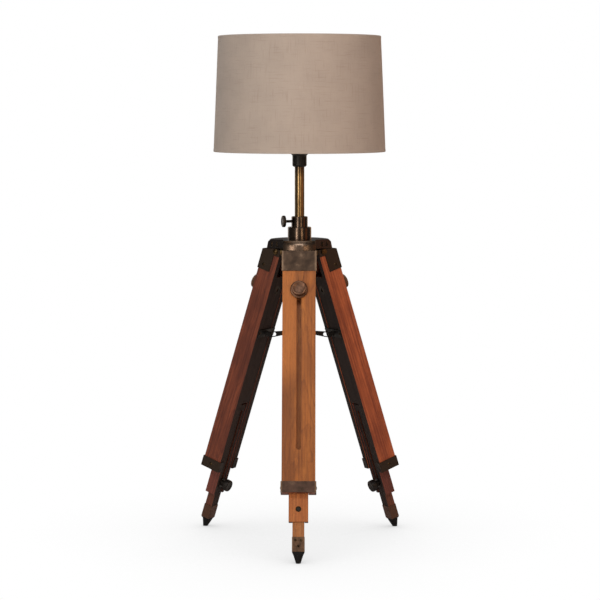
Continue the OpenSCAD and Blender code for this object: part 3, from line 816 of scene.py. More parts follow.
def threaded(pitch: float, depth: float, low: float, high: float, run_in: float, run_out: float) -> Wave:
    """Makes a screw thread between two heights.

    The radius falls by depth * (1 - cos(2 pi * height / pitch - angle)) / 2.

    Args:
        pitch: the height of one turn in millimetres.
        depth: the groove's depth.
        low: the height where the thread starts.
        high: the height where it ends.
        run_in: the length over which it grows above its start.
        run_out: the length over which it dies out before its end.

    Returns:
        The wave for turned().
    """

    def wave(angle: Points, height: Points) -> Points:
        """Returns the groove's depth, with a minus, on the grids of angle and height."""
        groove = depth / 2 * (np.cos(TURN * height / pitch - angle) - 1.0)
        return within(height, low, high, run_in, run_out) * groove

    return wave


def slotted_dome(
    radius: float, height: float, slot: float, depth: float, steps: int = 32, rings: int = 10
) -> Surface:
    """Makes a domed screw head on z = 0, cut across by a screwdriver slot.

    The height at (x, y) is height * (1 - (r / radius)^2)^0.6, less depth where |y| < slot / 2.

    Args:
        radius: the head's radius in millimetres.
        height: the dome's height.
        slot: the slot's width.
        depth: the slot's depth.
        steps: columns round the head.
        rings: rows from the rim to the middle.

    Returns:
        The closed surface.
    """
    share = np.linspace(0.999, 0.0, rings)
    dome = np.stack([radius * share, height * (1.0 - share**2) ** 0.6], axis=-1)
    head = turned(np.vstack([[[0.0, -0.3]], [[radius, -0.3]], [[radius, 0.0]], dome]), steps, Ends.ON_AXIS)
    points = head.points
    cut = (np.abs(points[:, 1]) < slot / 2) & (points[:, 2] > 0.0)
    points[:, 2] = np.where(cut, np.maximum(points[:, 2] - depth, 0.05), points[:, 2])
    return head


def hex_prism(across: float, low: float, high: float, chamfer: float) -> Surface:
    """Makes a hexagon nut's body.

    The radius is across / 2 / cos(angle to the nearest flat's middle), held down by a cone at both
    faces, which rounds the corners.

    Args:
        across: the width across the flats in millimetres.
        low: the height of the lower face.
        high: the height of the upper face.
        chamfer: how far the cones reach along the axis.

    Returns:
        The closed surface.
    """

    def wave(angle: Points, height: Points) -> Points:
        """Works out how far the side lies from a round one.

        Args:
            angle: the grid of angles.
            height: the grid of heights.

        Returns:
            What is added to the radius.
        """
        off = np.mod(angle, TURN / 6) - TURN / 12
        edge = np.minimum(height - low, high - height)
        ceiling = across / 2 * 1.03 + edge / max(chamfer, 1e-6) * across * 0.06
        return np.minimum(across / 2 / np.cos(off), ceiling) - across / 2

    heights = np.array([low + 1e-3, low + chamfer, high - chamfer, high - 1e-3])
    body = np.stack([np.full(4, across / 2), heights], axis=-1)
    return turned(np.vstack([[[0.0, low]], body, [[0.0, high]]]), 72, Ends.ON_AXIS, wave)


# ---------------------------------------------------------------- legs


@dataclass(frozen=True)
class Timber:
    """What differs from leg to leg in the outer board: its pith, its side colours (the wood's tone with
    painted shade) and its heartwood.
    """

    pith_mm: Triple
    side_colour_and_shade: str
    side_late_and_shade: str
    heart: Span


@dataclass(frozen=True)
class PressedSheet:
    """A fitting of pressed brass sheet: its node, title, colours (the second is painted shade), the span
    of its paler sides (a painted highlight with some wear) and its eased edge.
    """

    part: str
    title: str
    base: str
    side_colour_and_shade: str
    highlight_and_wear_mm: Span
    edge_mm: float


@dataclass(frozen=True)
class ScrewSize:
    """A domed wood screw, in millimetres."""

    head_radius: float
    dome: float
    shank_radius: float
    length: float


# Each board's side colours carry painted shade, lighter or darker from leg to leg, as well as the wood's
# tone.
BOARDS = (
    Timber((-38.0, 4.0, 0.0), "#964f31", "#57291c", (-1.0, -165.0)),
    Timber((-30.0, -6.0, 0.0), "#82442e", "#46211a", (1.0, -225.0)),
    Timber((-44.0, 2.0, 0.0), "#b8623c", "#6f3322", (-1.0, -250.0)),
)
# The second colour of each fitting is painted shade on its faces that don't point outwards; the span gives
# its paler sides, a painted highlight with some wear.
FITTINGS = (
    PressedSheet("cap", "cap", "#433326", "#14100f", (21.5, 25.6), 0.45),
    PressedSheet("ferrule", "ferrule", "#4d3930", "#14100f", (22.5, 25.9), 0.45),
    PressedSheet("foot_ferrule", "foot", "#684e3a", "#56382c", (7.4, 9.2), 0.25),
)
BOARD_SCREW = ScrewSize(2.6, 0.9, 1.4, 8.0)
FERRULE_SCREW = ScrewSize(1.82, 0.6, 0.98, 6.0)


@dataclass
class Leg:
    """One telescopic leg: outer board, sliding leg, foot stick, fittings and knobs. Sizes are in mm."""

    tag: str
    azimuth_deg: float
    seed: int
    hinge_r: float = 27.0
    hinge_z: float = 438.5
    lean_deg: float = 18.3
    width: float = 49.0
    back: float = -8.2
    front: float = 21.8
    length: float = 361.9
    cap_wall: float = 1.3
    cap_low: float = 33.0
    cap_screw_in: float = 8.0
    ferrule_wall: float = 1.45
    ferrule_height: float = 16.2
    channel_width: float = 28.9
    bracket_drop: float = 130.6
    bracket_plate: float = 1.6
    knob_drop: float = 61.4
    knob_radius: float = 10.8
    flange_radius: float = 13.0
    knob_height: float = 13.0
    stud_radius: float = 3.0
    mid_back: float = -7.35
    mid_front: float = 9.25
    foot_knob_drop: float = 384.5
    foot_back: float = -6.0
    foot_front: float = 6.4
    foot_knob_radius: float = 9.2
    foot_knob_thick: float = 7.6
    foot_knob_neck: float = 6.5
    foot_stud_radius: float = 2.5
    tip_height: float = 16.0
    foot_ferrule_height: float = 21.5
    foot_ferrule_wall: float = 0.65
    bolt_radius: float = 2.5
    bolt_head_radius: float = 4.6
    bolt_end: float = 3.0
    play: float = 0.3
    pattern: PatternFrame = field(init=False)

    def __post_init__(self) -> None:
        """Works out the frame that the leg's grain and patina are measured in."""
        azimuth, lean = math.radians(self.azimuth_deg), math.radians(self.lean_deg)
        pin = (self.hinge_r * math.cos(azimuth), self.hinge_r * math.sin(azimuth), self.hinge_z)
        self.pattern = PatternFrame(pin, (0.0, -lean, azimuth))

    @property
    def matrix(self) -> Points:
        """The leg's frame: origin at the hinge pin, X outwards, Z up along the leg."""
        azimuth, lean = math.radians(self.azimuth_deg), math.radians(self.lean_deg)
        return turn_about(2, azimuth) @ shift(self.hinge_r, 0.0, self.hinge_z) @ turn_about(1, -lean)

    @property
    def floor_at(self) -> float:
        """How far along the leg the floor lies below the hinge pin."""
        lean = math.radians(self.lean_deg)
        return (self.hinge_z + (self.foot_back + self.foot_front) / 2 * math.sin(lean)) / math.cos(lean)

    def node(self, part: str) -> str:
        """Returns the name of one of the leg's CAD nodes."""
        return f"leg_{self.tag}_{part}"

    def metal(self, title: str, *colours: str, **looks: object) -> Material:
        """Makes a metal for this leg, from its base, dark and rubbed colours."""
        return AgedMetal(f"{title}_{self.tag}", *colours, **looks).material(self.pattern)

    def across(self, height: float, inwards: bool = False) -> Points:
        """Works out where a turned piece goes whose axis crosses the leg, along its X axis.

        Args:
            height: the axis's height in the leg's frame.
            inwards: whether the piece points to the leg's inner side.

        Returns:
            The 4 by 4 matrix.
        """
        quarter = -math.pi / 2 if inwards else math.pi / 2
        return self.matrix @ shift(z=height) @ turn_about(1, quarter)

    def build(self) -> None:
        """Builds and dresses every piece of the leg."""
        log.info("leg %s", self.tag)
        self.woodwork()
        self.sheet_metal()
        self.upper_knob()
        self.foot_knob()
        self.hinge_bolt()
        self.screws()

    def woodwork(self) -> None:
        """Dresses the three sliding lengths of wood, each sawn from another board."""
        board = BOARDS[self.seed]
        # The side colours given here are the wood's tone with painted shade.
        outer = OiledHardwood(
            f"Hardwood_board_oiled_{self.tag}",
            side_colour_and_shade=board.side_colour_and_shade,
            side_late_and_shade=board.side_late_and_shade,
            pith_mm=board.pith_mm,
            heart=board.heart,
        )
        inner = OiledHardwood(
            f"Hardwood_slide_oiled_{self.tag}",
            "#ba7038",
            "#8a4b24",
            "#d28746",
            side_colour_and_shade="#7b4236",
            side_late_and_shade="#4f2a24",
            pith_mm=(-60.0, 9.0 - 3.0 * self.seed, 0.0),
            ring_mm=3.4,
            run_out=0.012,
        )
        stick = OiledHardwood(
            f"Hardwood_stick_oiled_{self.tag}",
            "#b0703a",
            "#80512f",
            "#b98251",
            side_colour_and_shade="#74412f",
            side_late_and_shade="#4f2c20",
            pith_mm=(-52.0, -5.0, 0.0),
            ring_mm=3.0,
            run_out=0.01,
        )
        eased(self.node("channel"), 0.9, [outer.material(self.pattern)])
        eased(self.node("slider"), 0.6, [inner.material(self.pattern)])
        eased(self.node("foot_stick"), 0.5, [stick.material(self.pattern)])

    def sheet_metal(self) -> None:
        """Dresses the cap, the ferrules, the bracket, the spreader arm, the inserts and the tip."""
        # Brass worn through its patina: a paler line along each edge, which catches the light. Where it
        # doesn't point outwards it is darkened with painted shade.
        worn = {"roughness": 0.38, "side_colour_and_shade": "#2e2622"}
        edge = self.metal("Brass_edge_rubbed", "#6f5a48", "#4d3f34", "#92795a", **worn)
        # Pressed brass sheet, darkened to bronze: satin, with a painted highlight and some wear making its
        # sides paler brown, and painted shade on the faces that don't point outwards.
        sheet = {"roughness": 0.5, "metallic": 0.75}
        for fitting in FITTINGS:
            looks = {"band": (1, *fitting.highlight_and_wear_mm), "side_colour_and_shade": fitting.side_colour_and_shade, **sheet}
            bronze = self.metal(f"Brass_sheet_bronzed_{fitting.title}", fitting.base, **looks)
            eased(self.node(fitting.part), fitting.edge_mm, [bronze, edge], 1)
        # Steel strip, blackened in oil: a soft dark grey with hardly a highlight.
        iron = {"roughness": 0.48, "metallic": 0.6}
        black = self.metal("Steel_blackened", "#211e1c", "#141211", "#3a3632", **iron)
        eased(self.node("bracket"), 0.25, [black])
        eased(self.node("arm"), 0.3, [black])
        # Moulded rubber: matt and nearly black.
        matt = {"roughness": 0.7, "depth_mm": 0.04, "specular": 0.16}
        rubber = MouldedPlastic(f"Rubber_moulded_{self.tag}", "#0e0d0f", "#151415", **matt)
        eased(self.node("foot_tip"), 0.5, [rubber.material(self.pattern)])
        # Turned brass, dark: a dull glint inside the hole.
        dress(self.node("inserts"), self.metal("Brass_turned_insert", "#3a2f22", "#241d16", "#57472f"))

    def upper_knob(self) -> None:
        """Builds the clamp knob: stud, flange, waist and a grip with fine ridges and a dished face."""
        base = self.front + self.play
        tip = base + self.knob_height
        stud, back = self.stud_radius, self.mid_back
        r, f = self.knob_radius, self.flange_radius
        rows = [(0.0, back + 1.0), (stud - 0.4, back + 1.0), (stud, back + 1.5), (stud, base)]
        rows += [(f - 0.3, base), (f, base + 0.3), (f, base + 1.5), (f - 0.5, base + 2.1)]
        rows += [(f - 1.2, base + 2.4), (r * 0.8, base + 2.5), (r * 0.8, base + 3.8), (r - 0.5, base + 4.0)]
        rows += [(r, base + 4.5), (r, base + 5.0), (r, tip - 1.8), (r, tip - 1.2), (r - 0.35, tip - 0.5)]
        rows += [(r - 1.1, tip - 0.1), (r - 1.9, tip), (r - 2.6, tip - 0.25), (r - 3.1, tip - 0.6)]
        rows += [(r * 0.3, tip - 0.7), (0.0, tip - 0.7)]
        grip = ridges(48, 0.45, base + 4.8, tip - 1.3)
        knob = turned(np.array(rows), 192, Ends.ON_AXIS, grip).moved(self.across(-self.knob_drop))
        # Turned brass, bronzed: satin, with the crests of its ridges rubbed bright.
        satin = {"roughness": 0.4, "metallic": 0.8}
        bronze = self.metal("Brass_turned_bronzed_knob", "#6e4f3c", "#4a3529", "#92765c", **satin)
        piece = make_mesh(f"clamp_knob_{self.tag}", knob, bronze)
        put_on(piece, self.node("knob"))

    def foot_knob(self) -> None:
        """Builds the foot knob: stud, washer, neck and a ridged grip on the leg's inner side."""
        seat = -self.foot_back + self.play
        grip = seat + 1.5 + self.foot_knob_neck
        end = grip + self.foot_knob_thick
        stud, start, r = self.foot_stud_radius, -self.mid_front, self.foot_knob_radius
        rows = [(0.0, start + 0.4), (stud - 0.3, start + 0.4), (stud, start + 0.8), (stud, seat)]
        rows += [(7.4, seat), (7.6, seat + 0.3), (7.6, seat + 1.2), (7.3, seat + 1.5), (4.5, seat + 1.6)]
        rows += [(4.5, grip - 0.8), (5.2, grip), (r - 0.6, grip), (r, grip + 0.6), (r, end - 1.4)]
        rows += [(r - 0.3, end - 0.6), (r - 1.0, end), (r - 2.2, end), (r - 2.8, end - 0.5), (0.0, end - 0.6)]
        place = self.across(-self.foot_knob_drop, inwards=True)
        knob = turned(np.array(rows), 96, Ends.ON_AXIS, ridges(32, 0.35, grip + 0.4, end - 1.2)).moved(place)
        # Turned brass, blackened: nearly black, with a faint warm gleam.
        black = self.metal("Brass_turned_blackened", "#2b2724", "#171413", "#4a423b", metallic=0.7)
        piece = make_mesh(f"foot_knob_{self.tag}", knob, black)
        put_on(piece, self.node("foot_knob"))

    def hinge_bolt(self) -> None:
        """Builds the hinge bolt with its slotted dome on one side and its nut on the other."""
        side = self.width / 2 + self.cap_wall
        r, end = self.bolt_radius, side + self.bolt_end
        rows = [(0.0, -end), (r - 0.4, -end), (r, -end + 0.4), (r, side - 0.05), (0.0, side - 0.05)]
        shank = turned(np.array(rows), 32, Ends.ON_AXIS)
        dome = slotted_dome(self.bolt_head_radius, 2.5, 0.9, 1.0).moved(shift(z=side))
        nut = hex_prism(self.bolt_head_radius * math.sqrt(3.0), -side - 2.6, -side - 0.02, 0.5)
        bolt = joined([shank, dome, nut]).moved(self.matrix @ turn_about(0, -math.pi / 2))
        # Turned brass, dark: a small warm highlight on the dome.
        brass = self.metal("Brass_turned_dark", "#5e4b30", "#352a1d", "#8d7449", roughness=0.36)
        put_on(make_mesh(f"hinge_bolt_{self.tag}", bolt, brass), self.node("hinge_bolt"))

    def screws(self) -> None:
        """Builds the slotted wood screws of the outer leg and those of the foot ferrule."""
        rail = (self.channel_width + (self.width - self.channel_width) / 2) / 2
        middle = (self.front + self.back) / 2
        cap_side, low_side = self.width / 2 + self.cap_wall, self.width / 2 + self.ferrule_wall
        cap_x, cap_z = self.front - self.cap_screw_in, -self.cap_low + self.cap_screw_in
        low_z = -self.length + self.ferrule_height / 2
        plate = self.back - self.bracket_plate
        seats = []
        for side in (-1.0, 1.0):
            seats.append(shift(plate, side * rail, -self.bracket_drop) @ turn_about(1, -math.pi / 2))
            sideways = turn_about(0, -side * math.pi / 2)
            seats.append(shift(cap_x, side * cap_side, cap_z) @ sideways)
            seats.append(shift(middle, side * low_side, low_z) @ sideways)
        turns = np.random.default_rng(31 + self.seed).uniform(0.0, math.pi, 9)
        self.screw_set("wood_screws", "screws", seats, BOARD_SCREW, turns)
        top = -self.floor_at + self.tip_height + self.foot_ferrule_height
        front = self.foot_front + self.foot_ferrule_wall
        # Each spot is across the leg, then down from the ferrule's upper edge.
        spots = [(-4.2, 5.0), (4.2, 5.0), (0.0, 13.5)]
        seats = [shift(front, y, top - down) @ turn_about(1, math.pi / 2) for y, down in spots]
        self.screw_set("ferrule_screws", "foot_screws", seats, FERRULE_SCREW, turns[::-1])

    def screw_set(self, name: str, part: str, seats: list[Points], size: ScrewSize, turns: Points) -> None:
        """Builds a set of equal screws as one piece.

        Args:
            name: the piece's name, without the leg's tag.
            part: the CAD node that it stands for.
            seats: each screw's seat in the leg's frame, with Z pointing out of the wood.
            size: the size that the screws share.
            turns: how far each slot is turned.
        """
        r, end = size.shank_radius, -size.length
        rows = [(0.0, end), (r * 0.5, end + 1.2), (r, end + 3.0), (r, -0.31), (0.0, -0.31)]
        shank = turned(np.array(rows), 20, Ends.ON_AXIS)
        head = slotted_dome(size.head_radius, size.dome, size.head_radius * 0.24, size.dome * 0.6, 24, 7)
        places = [self.matrix @ seat @ turn_about(2, angle) for seat, angle in zip(seats, turns)]
        screws = joined([piece.moved(place) for place in places for piece in (head, shank)])
        # Brass screws, dark: a dull gold dot with a slot across it.
        brass = self.metal(f"Brass_screw_dark_{name}", "#4c3d2b", "#261e17", "#7d6744", roughness=0.4)
        put_on(make_mesh(f"{name}_{self.tag}", screws, brass), self.node(part))


# ---------------------------------------------------------------- head, socket and spreader


@dataclass
class Head:
    """The cast head, the stem socket in it, its locknut and the thumbscrew. Sizes are in mm."""

    thumb_height: float = 484.245
    thumb_azimuth_deg: float = 195.0
    tube_radius: float = 7.25
    thumb_shank: float = 2.2
    thumb_radius: float = 8.75
    thumb_out: float = 22.3
    thumb_thick: float = 4.6
    thumb_gap: float = 0.15
    thread_pitch: float = 1.0
    thread_depth: float = 0.28

    def build(self) -> None:
        """Builds and dresses the head's pieces."""
        # Sand-cast bronze, turned on its outside: crisp bands of light, reflections of the lamps, in front of
        # the three arms, and painted shade, dark grey, on the faces between them.
        cast = AgedMetal(
            "Bronze_sand_cast",
            "#665548",
            "#51443a",
            "#7d6a55",
            cloud_mm=(26.0, 26.0, 26.0),
            roughness=0.3,
            spread=0.02,
            side_colour_and_shade="#3d3a3a",
            arms=3,
            speck_mm=1.0,
            grain_mm=(1.1, 1.1, 1.1),
            grain_depth_mm=0.008,
        )
        # Bronze worn through its patina: a dull gold line along each edge.
        edge = AgedMetal("Bronze_edge_rubbed", "#6d5a43", "#4c3e30", "#96805c", roughness=0.34)
        # Turned brass, darkened: fine rings from the tool round its axis.
        lathe = AgedMetal(
            "Brass_turned_darkened",
            "#584b40",
            "#3a322b",
            "#806e58",
            roughness=0.25,
            spread=0.04,
            grain_mm=(30.0, 30.0, 0.55),
            grain_depth_mm=0.01,
        )
        # Milled brass, darkened: flat faces that shine one by one.
        nut = AgedMetal("Brass_nut_darkened", "#5c4a30", "#382c1e", "#86704a", roughness=0.38)
        eased("head_casting", 0.5, [cast.material(), edge.material()], 1)
        eased("stem_socket", 0.5, [lathe.material(), edge.material()], 1)
        eased("socket_locknut", 0.5, [nut.material()])
        self.thumbscrew()

    def thumbscrew(self) -> None:
        """Builds the thumbscrew: a threaded shank and a knurled disc with a dished face."""
        start, seat = self.tube_radius + self.thumb_gap, self.thumb_out
        end = seat + self.thumb_thick
        r, s = self.thumb_radius, self.thumb_shank
        shank = np.stack([np.full(90, s), np.linspace(start + 0.4, seat - 0.2, 90)], axis=-1)
        rows = [(s + 1.3, seat), (r - 1.0, seat), (r - 0.3, seat + 0.4), (r, seat + 0.9), (r, end - 0.9)]
        rows += [(r - 0.3, end - 0.4), (r - 1.0, end), (r - 2.2, end), (r - 3.0, end - 0.7), (0.0, end - 0.8)]
        profile = np.vstack([[(0.0, start), (s - 0.5, start)], shank, rows])
        grip = ridges(48, 0.3, seat + 0.5, end - 0.5)
        thread = threaded(self.thread_pitch, self.thread_depth, start + 0.3, seat - 0.1, 0.1, 0.1)

        def wave(angle: Points, height: Points) -> Points:
            """Adds the thread of the shank to the knurling of the disc."""
            return grip(angle, height) + thread(angle, height)

        aim = turn_about(2, math.radians(self.thumb_azimuth_deg)) @ turn_about(1, math.pi / 2)
        screw = turned(profile, 96, Ends.ON_AXIS, wave).moved(shift(z=self.thumb_height) @ aim)
        # Turned brass, blackened: dark, with a gleam on its knurling.
        black = {"roughness": 0.38, "metallic": 0.8}
        dark = AgedMetal("Brass_thumbscrew_blackened", "#342c25", "#1b1714", "#5e5040", **black)
        put_on(make_mesh("thumbscrew_knurled", screw, dark.material()), "thumbscrew")


@dataclass
class Spreader:
    """The hub under the head, in which the three spreader arms hang. Sizes are in mm."""

    edge: float = 0.35

    def build(self) -> None:
        """Dresses the hub in the same blackened steel as the arms."""
        # Steel, blackened in oil: a soft dark grey with hardly a highlight.
        dull = {"roughness": 0.48, "metallic": 0.6}
        iron = AgedMetal("Steel_blackened_hub", "#211e1c", "#141211", "#3a3632", **dull)
        eased("spreader_hub", self.edge, [iron.material()])


# ---------------------------------------------------------------- stem, lampholder and bulb


@dataclass
class Stem:
    """The stem tube, the lampholder on it and the bulb. Sizes are in mm."""

    shell_low: float = 604.0
    shell_height: float = 28.0
    shell_radius: float = 19.5
    bore: float = 13.6
    shell_pitch: float = 3.5
    shell_depth: float = 0.7
    nut_low: float = 605.8
    nut_height: float = 5.0
    nut_wall: float = 4.0
    nut_play: float = 0.05
    bulb_tip: float = 609.2
    cap_low: float = 612.0
    cap_radius: float = 13.2
    cap_height: float = 24.0
    cap_pitch: float = 3.6
    cap_depth: float = 1.0
    bulb_radius: float = 30.0
    bulb_middle: float = 690.0
    neck_deg: float = 62.0

    def build(self) -> None:
        """Builds and dresses the stem's pieces."""
        # Drawn brass tube, aged: long faint streaks from the die, and a soft golden shine. It is darker at
        # its top, under the lampholder.
        tube = AgedMetal(
            "Brass_tube_antique",
            "#8a7350",
            "#5f4b30",
            "#a08a64",
            band=(2, 548.0, 566.0),
            band_colour="#3a302a",
            cloud_mm=(5.0, 5.0, 60.0),
            speck_mm=1.8,
            grain_mm=(0.5, 0.5, 26.0),
            grain_depth_mm=0.012,
            roughness=0.3,
            spread=0.06,
        )
        dress("stem_tube", tube.material())
        # Bakelite, moulded: black, with a dull gloss.
        black = MouldedPlastic("Bakelite_moulded", "#0f0f0f", "#161615", roughness=0.45, specular=0.22)
        # Porcelain, glazed: off-white, with sharp small highlights.
        glaze = MouldedPlastic("Porcelain_glazed", "#e6dfd2", "#efe9de", roughness=0.16, texture_mm=3.0)
        eased("cord_bush", 0.4, [black.material()])
        eased("holder_cap", 0.5, [black.material()], angle_deg=30.0)
        eased("holder_insert", 0.4, [glaze.material()])
        self.threaded_shell(black.material())
        self.ring_nut(black.material())
        self.bulb()

    def threaded_shell(self, material: Material) -> None:
        """Builds the lampholder's shell, threaded on its outer side from above the seat to the rim.

        Args:
            material: what it is made of.
        """
        low, high, out = self.shell_low, self.shell_low + self.shell_height, self.shell_radius
        outside = np.stack([np.full(57, out), np.linspace(low + 0.6, high - 0.8, 57)], axis=-1)
        rim = [(out - 0.8, high), (self.bore + 0.5, high), (self.bore, high - 0.5)]
        profile = np.vstack([[(self.bore, low), (out - 0.6, low)], outside, rim])
        thread = threaded(self.shell_pitch, self.shell_depth, low + 1.0, high - 1.0, 2.0, 1.5)
        shell = turned(profile, 96, Ends.LOOP, thread, slice(2, 59))
        put_on(make_mesh("lampholder_shell", shell, material, 50.0), "holder_shell")

    def ring_nut(self, material: Material) -> None:
        """Builds the shade's ring nut, with a wavy grip on its outer side.

        Args:
            material: what it is made of.
        """
        low, high = self.nut_low, self.nut_low + self.nut_height
        bore, out = self.shell_radius + self.nut_play, self.shell_radius + self.nut_wall
        rows = [(bore, low), (out - 0.5, low), (out, low + 0.5), (out, high - 1.0)]
        rows += [(out - 0.4, high - 0.3), (out - 1.2, high), (bore, high)]
        grip = ridges(36, 0.45, low + 0.2, high - 0.2)
        nut = turned(np.array(rows), 144, Ends.LOOP, grip, slice(2, 5))
        put_on(make_mesh("shade_nut_ridged", nut, material), "shade_ring_nut")

    def bulb(self) -> None:
        """Builds the bulb: a rolled screw cap and one smooth glass envelope.

        The envelope is a sphere that an ease blends into the neck: r = neck + (sphere - neck) * s, with
        s = 0.35 t + 0.65 (3 t^2 - 2 t^3) and t from 0 to 1 along the neck.
        """
        low, high, r, tip = self.cap_low, self.cap_low + self.cap_height, self.cap_radius, self.bulb_tip
        side = np.stack([np.full(73, r), np.linspace(low + 0.5, high, 73)], axis=-1)
        contact = [(0.0, tip), (3.2, tip), (4.0, tip + 0.5), (4.4, tip + 1.0), (r - 1.2, low - 0.2)]
        # The thread dies out under the glass.
        thread = threaded(self.cap_pitch, self.cap_depth, low + 0.6, high - 3.0, 1.5, 1.5)
        screwed = turned(np.vstack([contact, side, [(0.0, high)]]), 72, Ends.ON_AXIS, thread)
        # Aluminium, rolled: bright, with soft highlights along its thread.
        bright = {"roughness": 0.28, "spread": 0.05}
        metal = AgedMetal("Aluminium_cap_rolled", "#c9c9c6", "#a9a9a6", "#dcdcda", **bright)
        put_on(make_mesh("bulb_cap_rolled", screwed, metal.material(), 50.0), "bulb_cap")
        radius, middle = self.bulb_radius, self.bulb_middle
        bend = np.linspace(math.radians(self.neck_deg), math.pi, 48)
        ball = np.stack([radius * np.sin(bend), middle - radius * np.cos(bend)], axis=-1)
        start_r, start_h = ball[0]
        share = np.linspace(0.0, 1.0, 22)[:-1]
        ease = share**2 * (3.0 - 2.0 * share)
        neck_r = r - 0.2 + (start_r - r + 0.2) * (0.35 * share + 0.65 * ease)
        neck = np.stack([neck_r, high + (start_h - high) * share], axis=-1) + [[0.0, 0.02]]
        envelope = np.vstack([[(0.0, high + 0.02)], neck, ball[:-1], [(0.0, middle + radius)]])
        opal = OpalGlass("Glass_blown_opal").material()
        glass = make_mesh("bulb_envelope", turned(envelope, 96, Ends.ON_AXIS), opal, 60.0)
        put_on(glass, "bulb_glass")


# ---------------------------------------------------------------- shade


@dataclass
class Shade:
    """The tapered drum shade: linen on a stiff liner, turned over at each rim. Sizes are in mm."""

    low: float = 588.7
    height: float = 172.3
    low_radius: float = 129.0
    top_radius: float = 121.5
    wall: float = 1.2
    cloth: float = 0.45
    hem: float = 9.0
    lap: float = 12.0
    steps: int = 360

    @property
    def girth(self) -> float:
        """The drum's mean circumference."""
        return TURN * (self.low_radius + self.top_radius) / 2

    def radius(self, height: Points) -> Points:
        """Returns the outer radius at a height above the shade's lower rim."""
        return self.low_radius + (self.top_radius - self.low_radius) * height / self.height

    def build(self) -> None:
        """Builds the linen, its liner and the wire frame."""
        self.linen()
        self.liner()
        # Steel wire, powder coated: off-white and satin, with a faint orange-peel texture.
        coat = {"metallic": 0.0, "roughness": 0.45, "spread": 0.05, "grain_depth_mm": 0.03}
        wire = AgedMetal("Steel_wire_powder_coated", "#d6d2c8", "#c4bfb4", "#e2dfd7", **coat)
        dress("shade_frame", wire.material())

    def lap_wave(self, angle: Points, height: Points) -> Points:
        """Raises the overlap of the linen's ends at the back by half the cloth's thickness, and ripples it.

        The overlap is a quarter of the difference of two tanh steps along the cloth. The ripple is a
        sum of sines of three and eleven times the angle.

        Args:
            angle: the grid of angles.
            height: the grid of heights.

        Returns:
            What is added to the radius.
        """
        off = (angle - math.pi / 2 + math.pi) % TURN - math.pi
        across = off * self.low_radius
        rise = np.tanh((across + self.lap / 2) / 0.5) - np.tanh((across - self.lap / 2) / 3.0)
        level = (height - self.low) / self.height
        slow = 0.10 * np.sin(3.0 * angle + 2.0 * level) * np.sin(math.pi * level)
        quick = 0.05 * np.sin(11.0 * angle + 5.0 * level)
        return self.cloth * (0.25 * rise) + (slow + quick)

    def linen(self) -> None:
        """Builds the linen as one closed strip, up the outside and over both rims to the inside.

        Its radius is the drum's, plus a roll of 0.35 mm just inside each rim, less 0.5 mm at the rim,
        both as bell curves of the height.
        """
        top, bottom, tall = self.low + self.height, self.low, self.height
        near, far = np.linspace(0.4, 3.4, 6), np.linspace(tall - 3.4, tall - 0.4, 6)
        out_h = np.concatenate([[0.0], near, np.linspace(6.0, tall - 6.0, 40), far, [tall]])
        roll = 0.35 * (np.exp(-(((out_h - 1.9) / 1.3) ** 2)) + np.exp(-(((tall - out_h - 1.9) / 1.3) ** 2)))
        drop = 0.5 * (np.exp(-((out_h / 0.35) ** 2)) + np.exp(-(((tall - out_h) / 0.35) ** 2)))
        outer = np.stack([self.radius(out_h) + roll - drop, bottom + out_h], axis=-1)
        inside = (outer - [[self.cloth, 0.0]])[::-1][7:-7]
        # The hem follows the drum's taper down inside each rim.
        taper = (self.low_radius - self.top_radius) / self.height * self.hem
        r, s = self.top_radius - self.wall, self.low_radius - self.wall
        over = [(r - 0.1, top), (r - 0.5, top - 0.4), (r - 0.5 + taper, top - self.hem)]
        over += [(r - 0.05 + taper, top - self.hem), (r - 0.05, top - 0.5), (r + 0.3, top - 0.45)]
        under = [(s + 0.3, bottom + 0.45), (s - 0.05, bottom + 0.5), (s - 0.05 - taper, bottom + self.hem)]
        under += [(s - 0.5 - taper, bottom + self.hem), (s - 0.5, bottom + 0.4), (s - 0.1, bottom)]
        strip = turned(np.vstack([outer, over, inside, under]), self.steps, Ends.LOOP, self.lap_wave)
        strip.corners = (np.asarray(strip.corners) * [self.girth * MM, MM]).tolist()
        cloth = make_mesh("shade_linen", strip, SlubLinen("Linen_plain_woven_slub").material(), 60.0)
        put_on(cloth, "shade_fabric")

    def liner(self) -> None:
        """Builds the pale styrene liner that the linen is stuck to."""
        heights = np.linspace(0.6, self.height - 0.6, 24)
        outside = np.stack([self.radius(heights) - self.cloth - 0.08, self.low + heights], axis=-1)
        inside = np.stack([self.radius(heights) - self.wall, self.low + heights], axis=-1)[::-1]
        # Styrene sheet, matt: cream, and evenly bright where the bulb lights it.
        matt = {"roughness": 0.5, "texture_mm": 0.9, "depth_mm": 0.03}
        styrene = MouldedPlastic("Styrene_sheet_matt", "#e7dccb", "#eee5d6", **matt)
        drum = turned(np.vstack([outside, inside]), self.steps, Ends.LOOP, self.lap_wave)
        piece = make_mesh("shade_liner", drum, styrene.material(), 60.0)
        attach(piece, NODE_BODY["shade_fabric"])
        log.info("shade_liner: %d faces", len(piece.data.polygons))


# ---------------------------------------------------------------- studio


@dataclass(frozen=True)
class Softbox:
    """One soft area light, aimed at a point. Lengths are in metres."""

    name: str
    place: Triple
    size: tuple[float, float]
    watts: float
    colour: str = "#ffffff"
    aim: Triple = (0.0, 0.0, 0.42)

    def build(self) -> None:
        """Adds the light."""
        data = bpy.data.lights.new(self.name, "AREA")
        data.shape = "RECTANGLE"
        data.size, data.size_y = self.size
        data.energy = self.watts
        data.color = linear(self.colour)[:3]
        lamp = bpy.data.objects.new(self.name, data)
        lamp.location = self.place
        lamp.rotation_euler = (Vector(self.aim) - Vector(self.place)).to_track_quat("-Z", "Y").to_euler()
        bpy.context.scene.collection.objects.link(lamp)


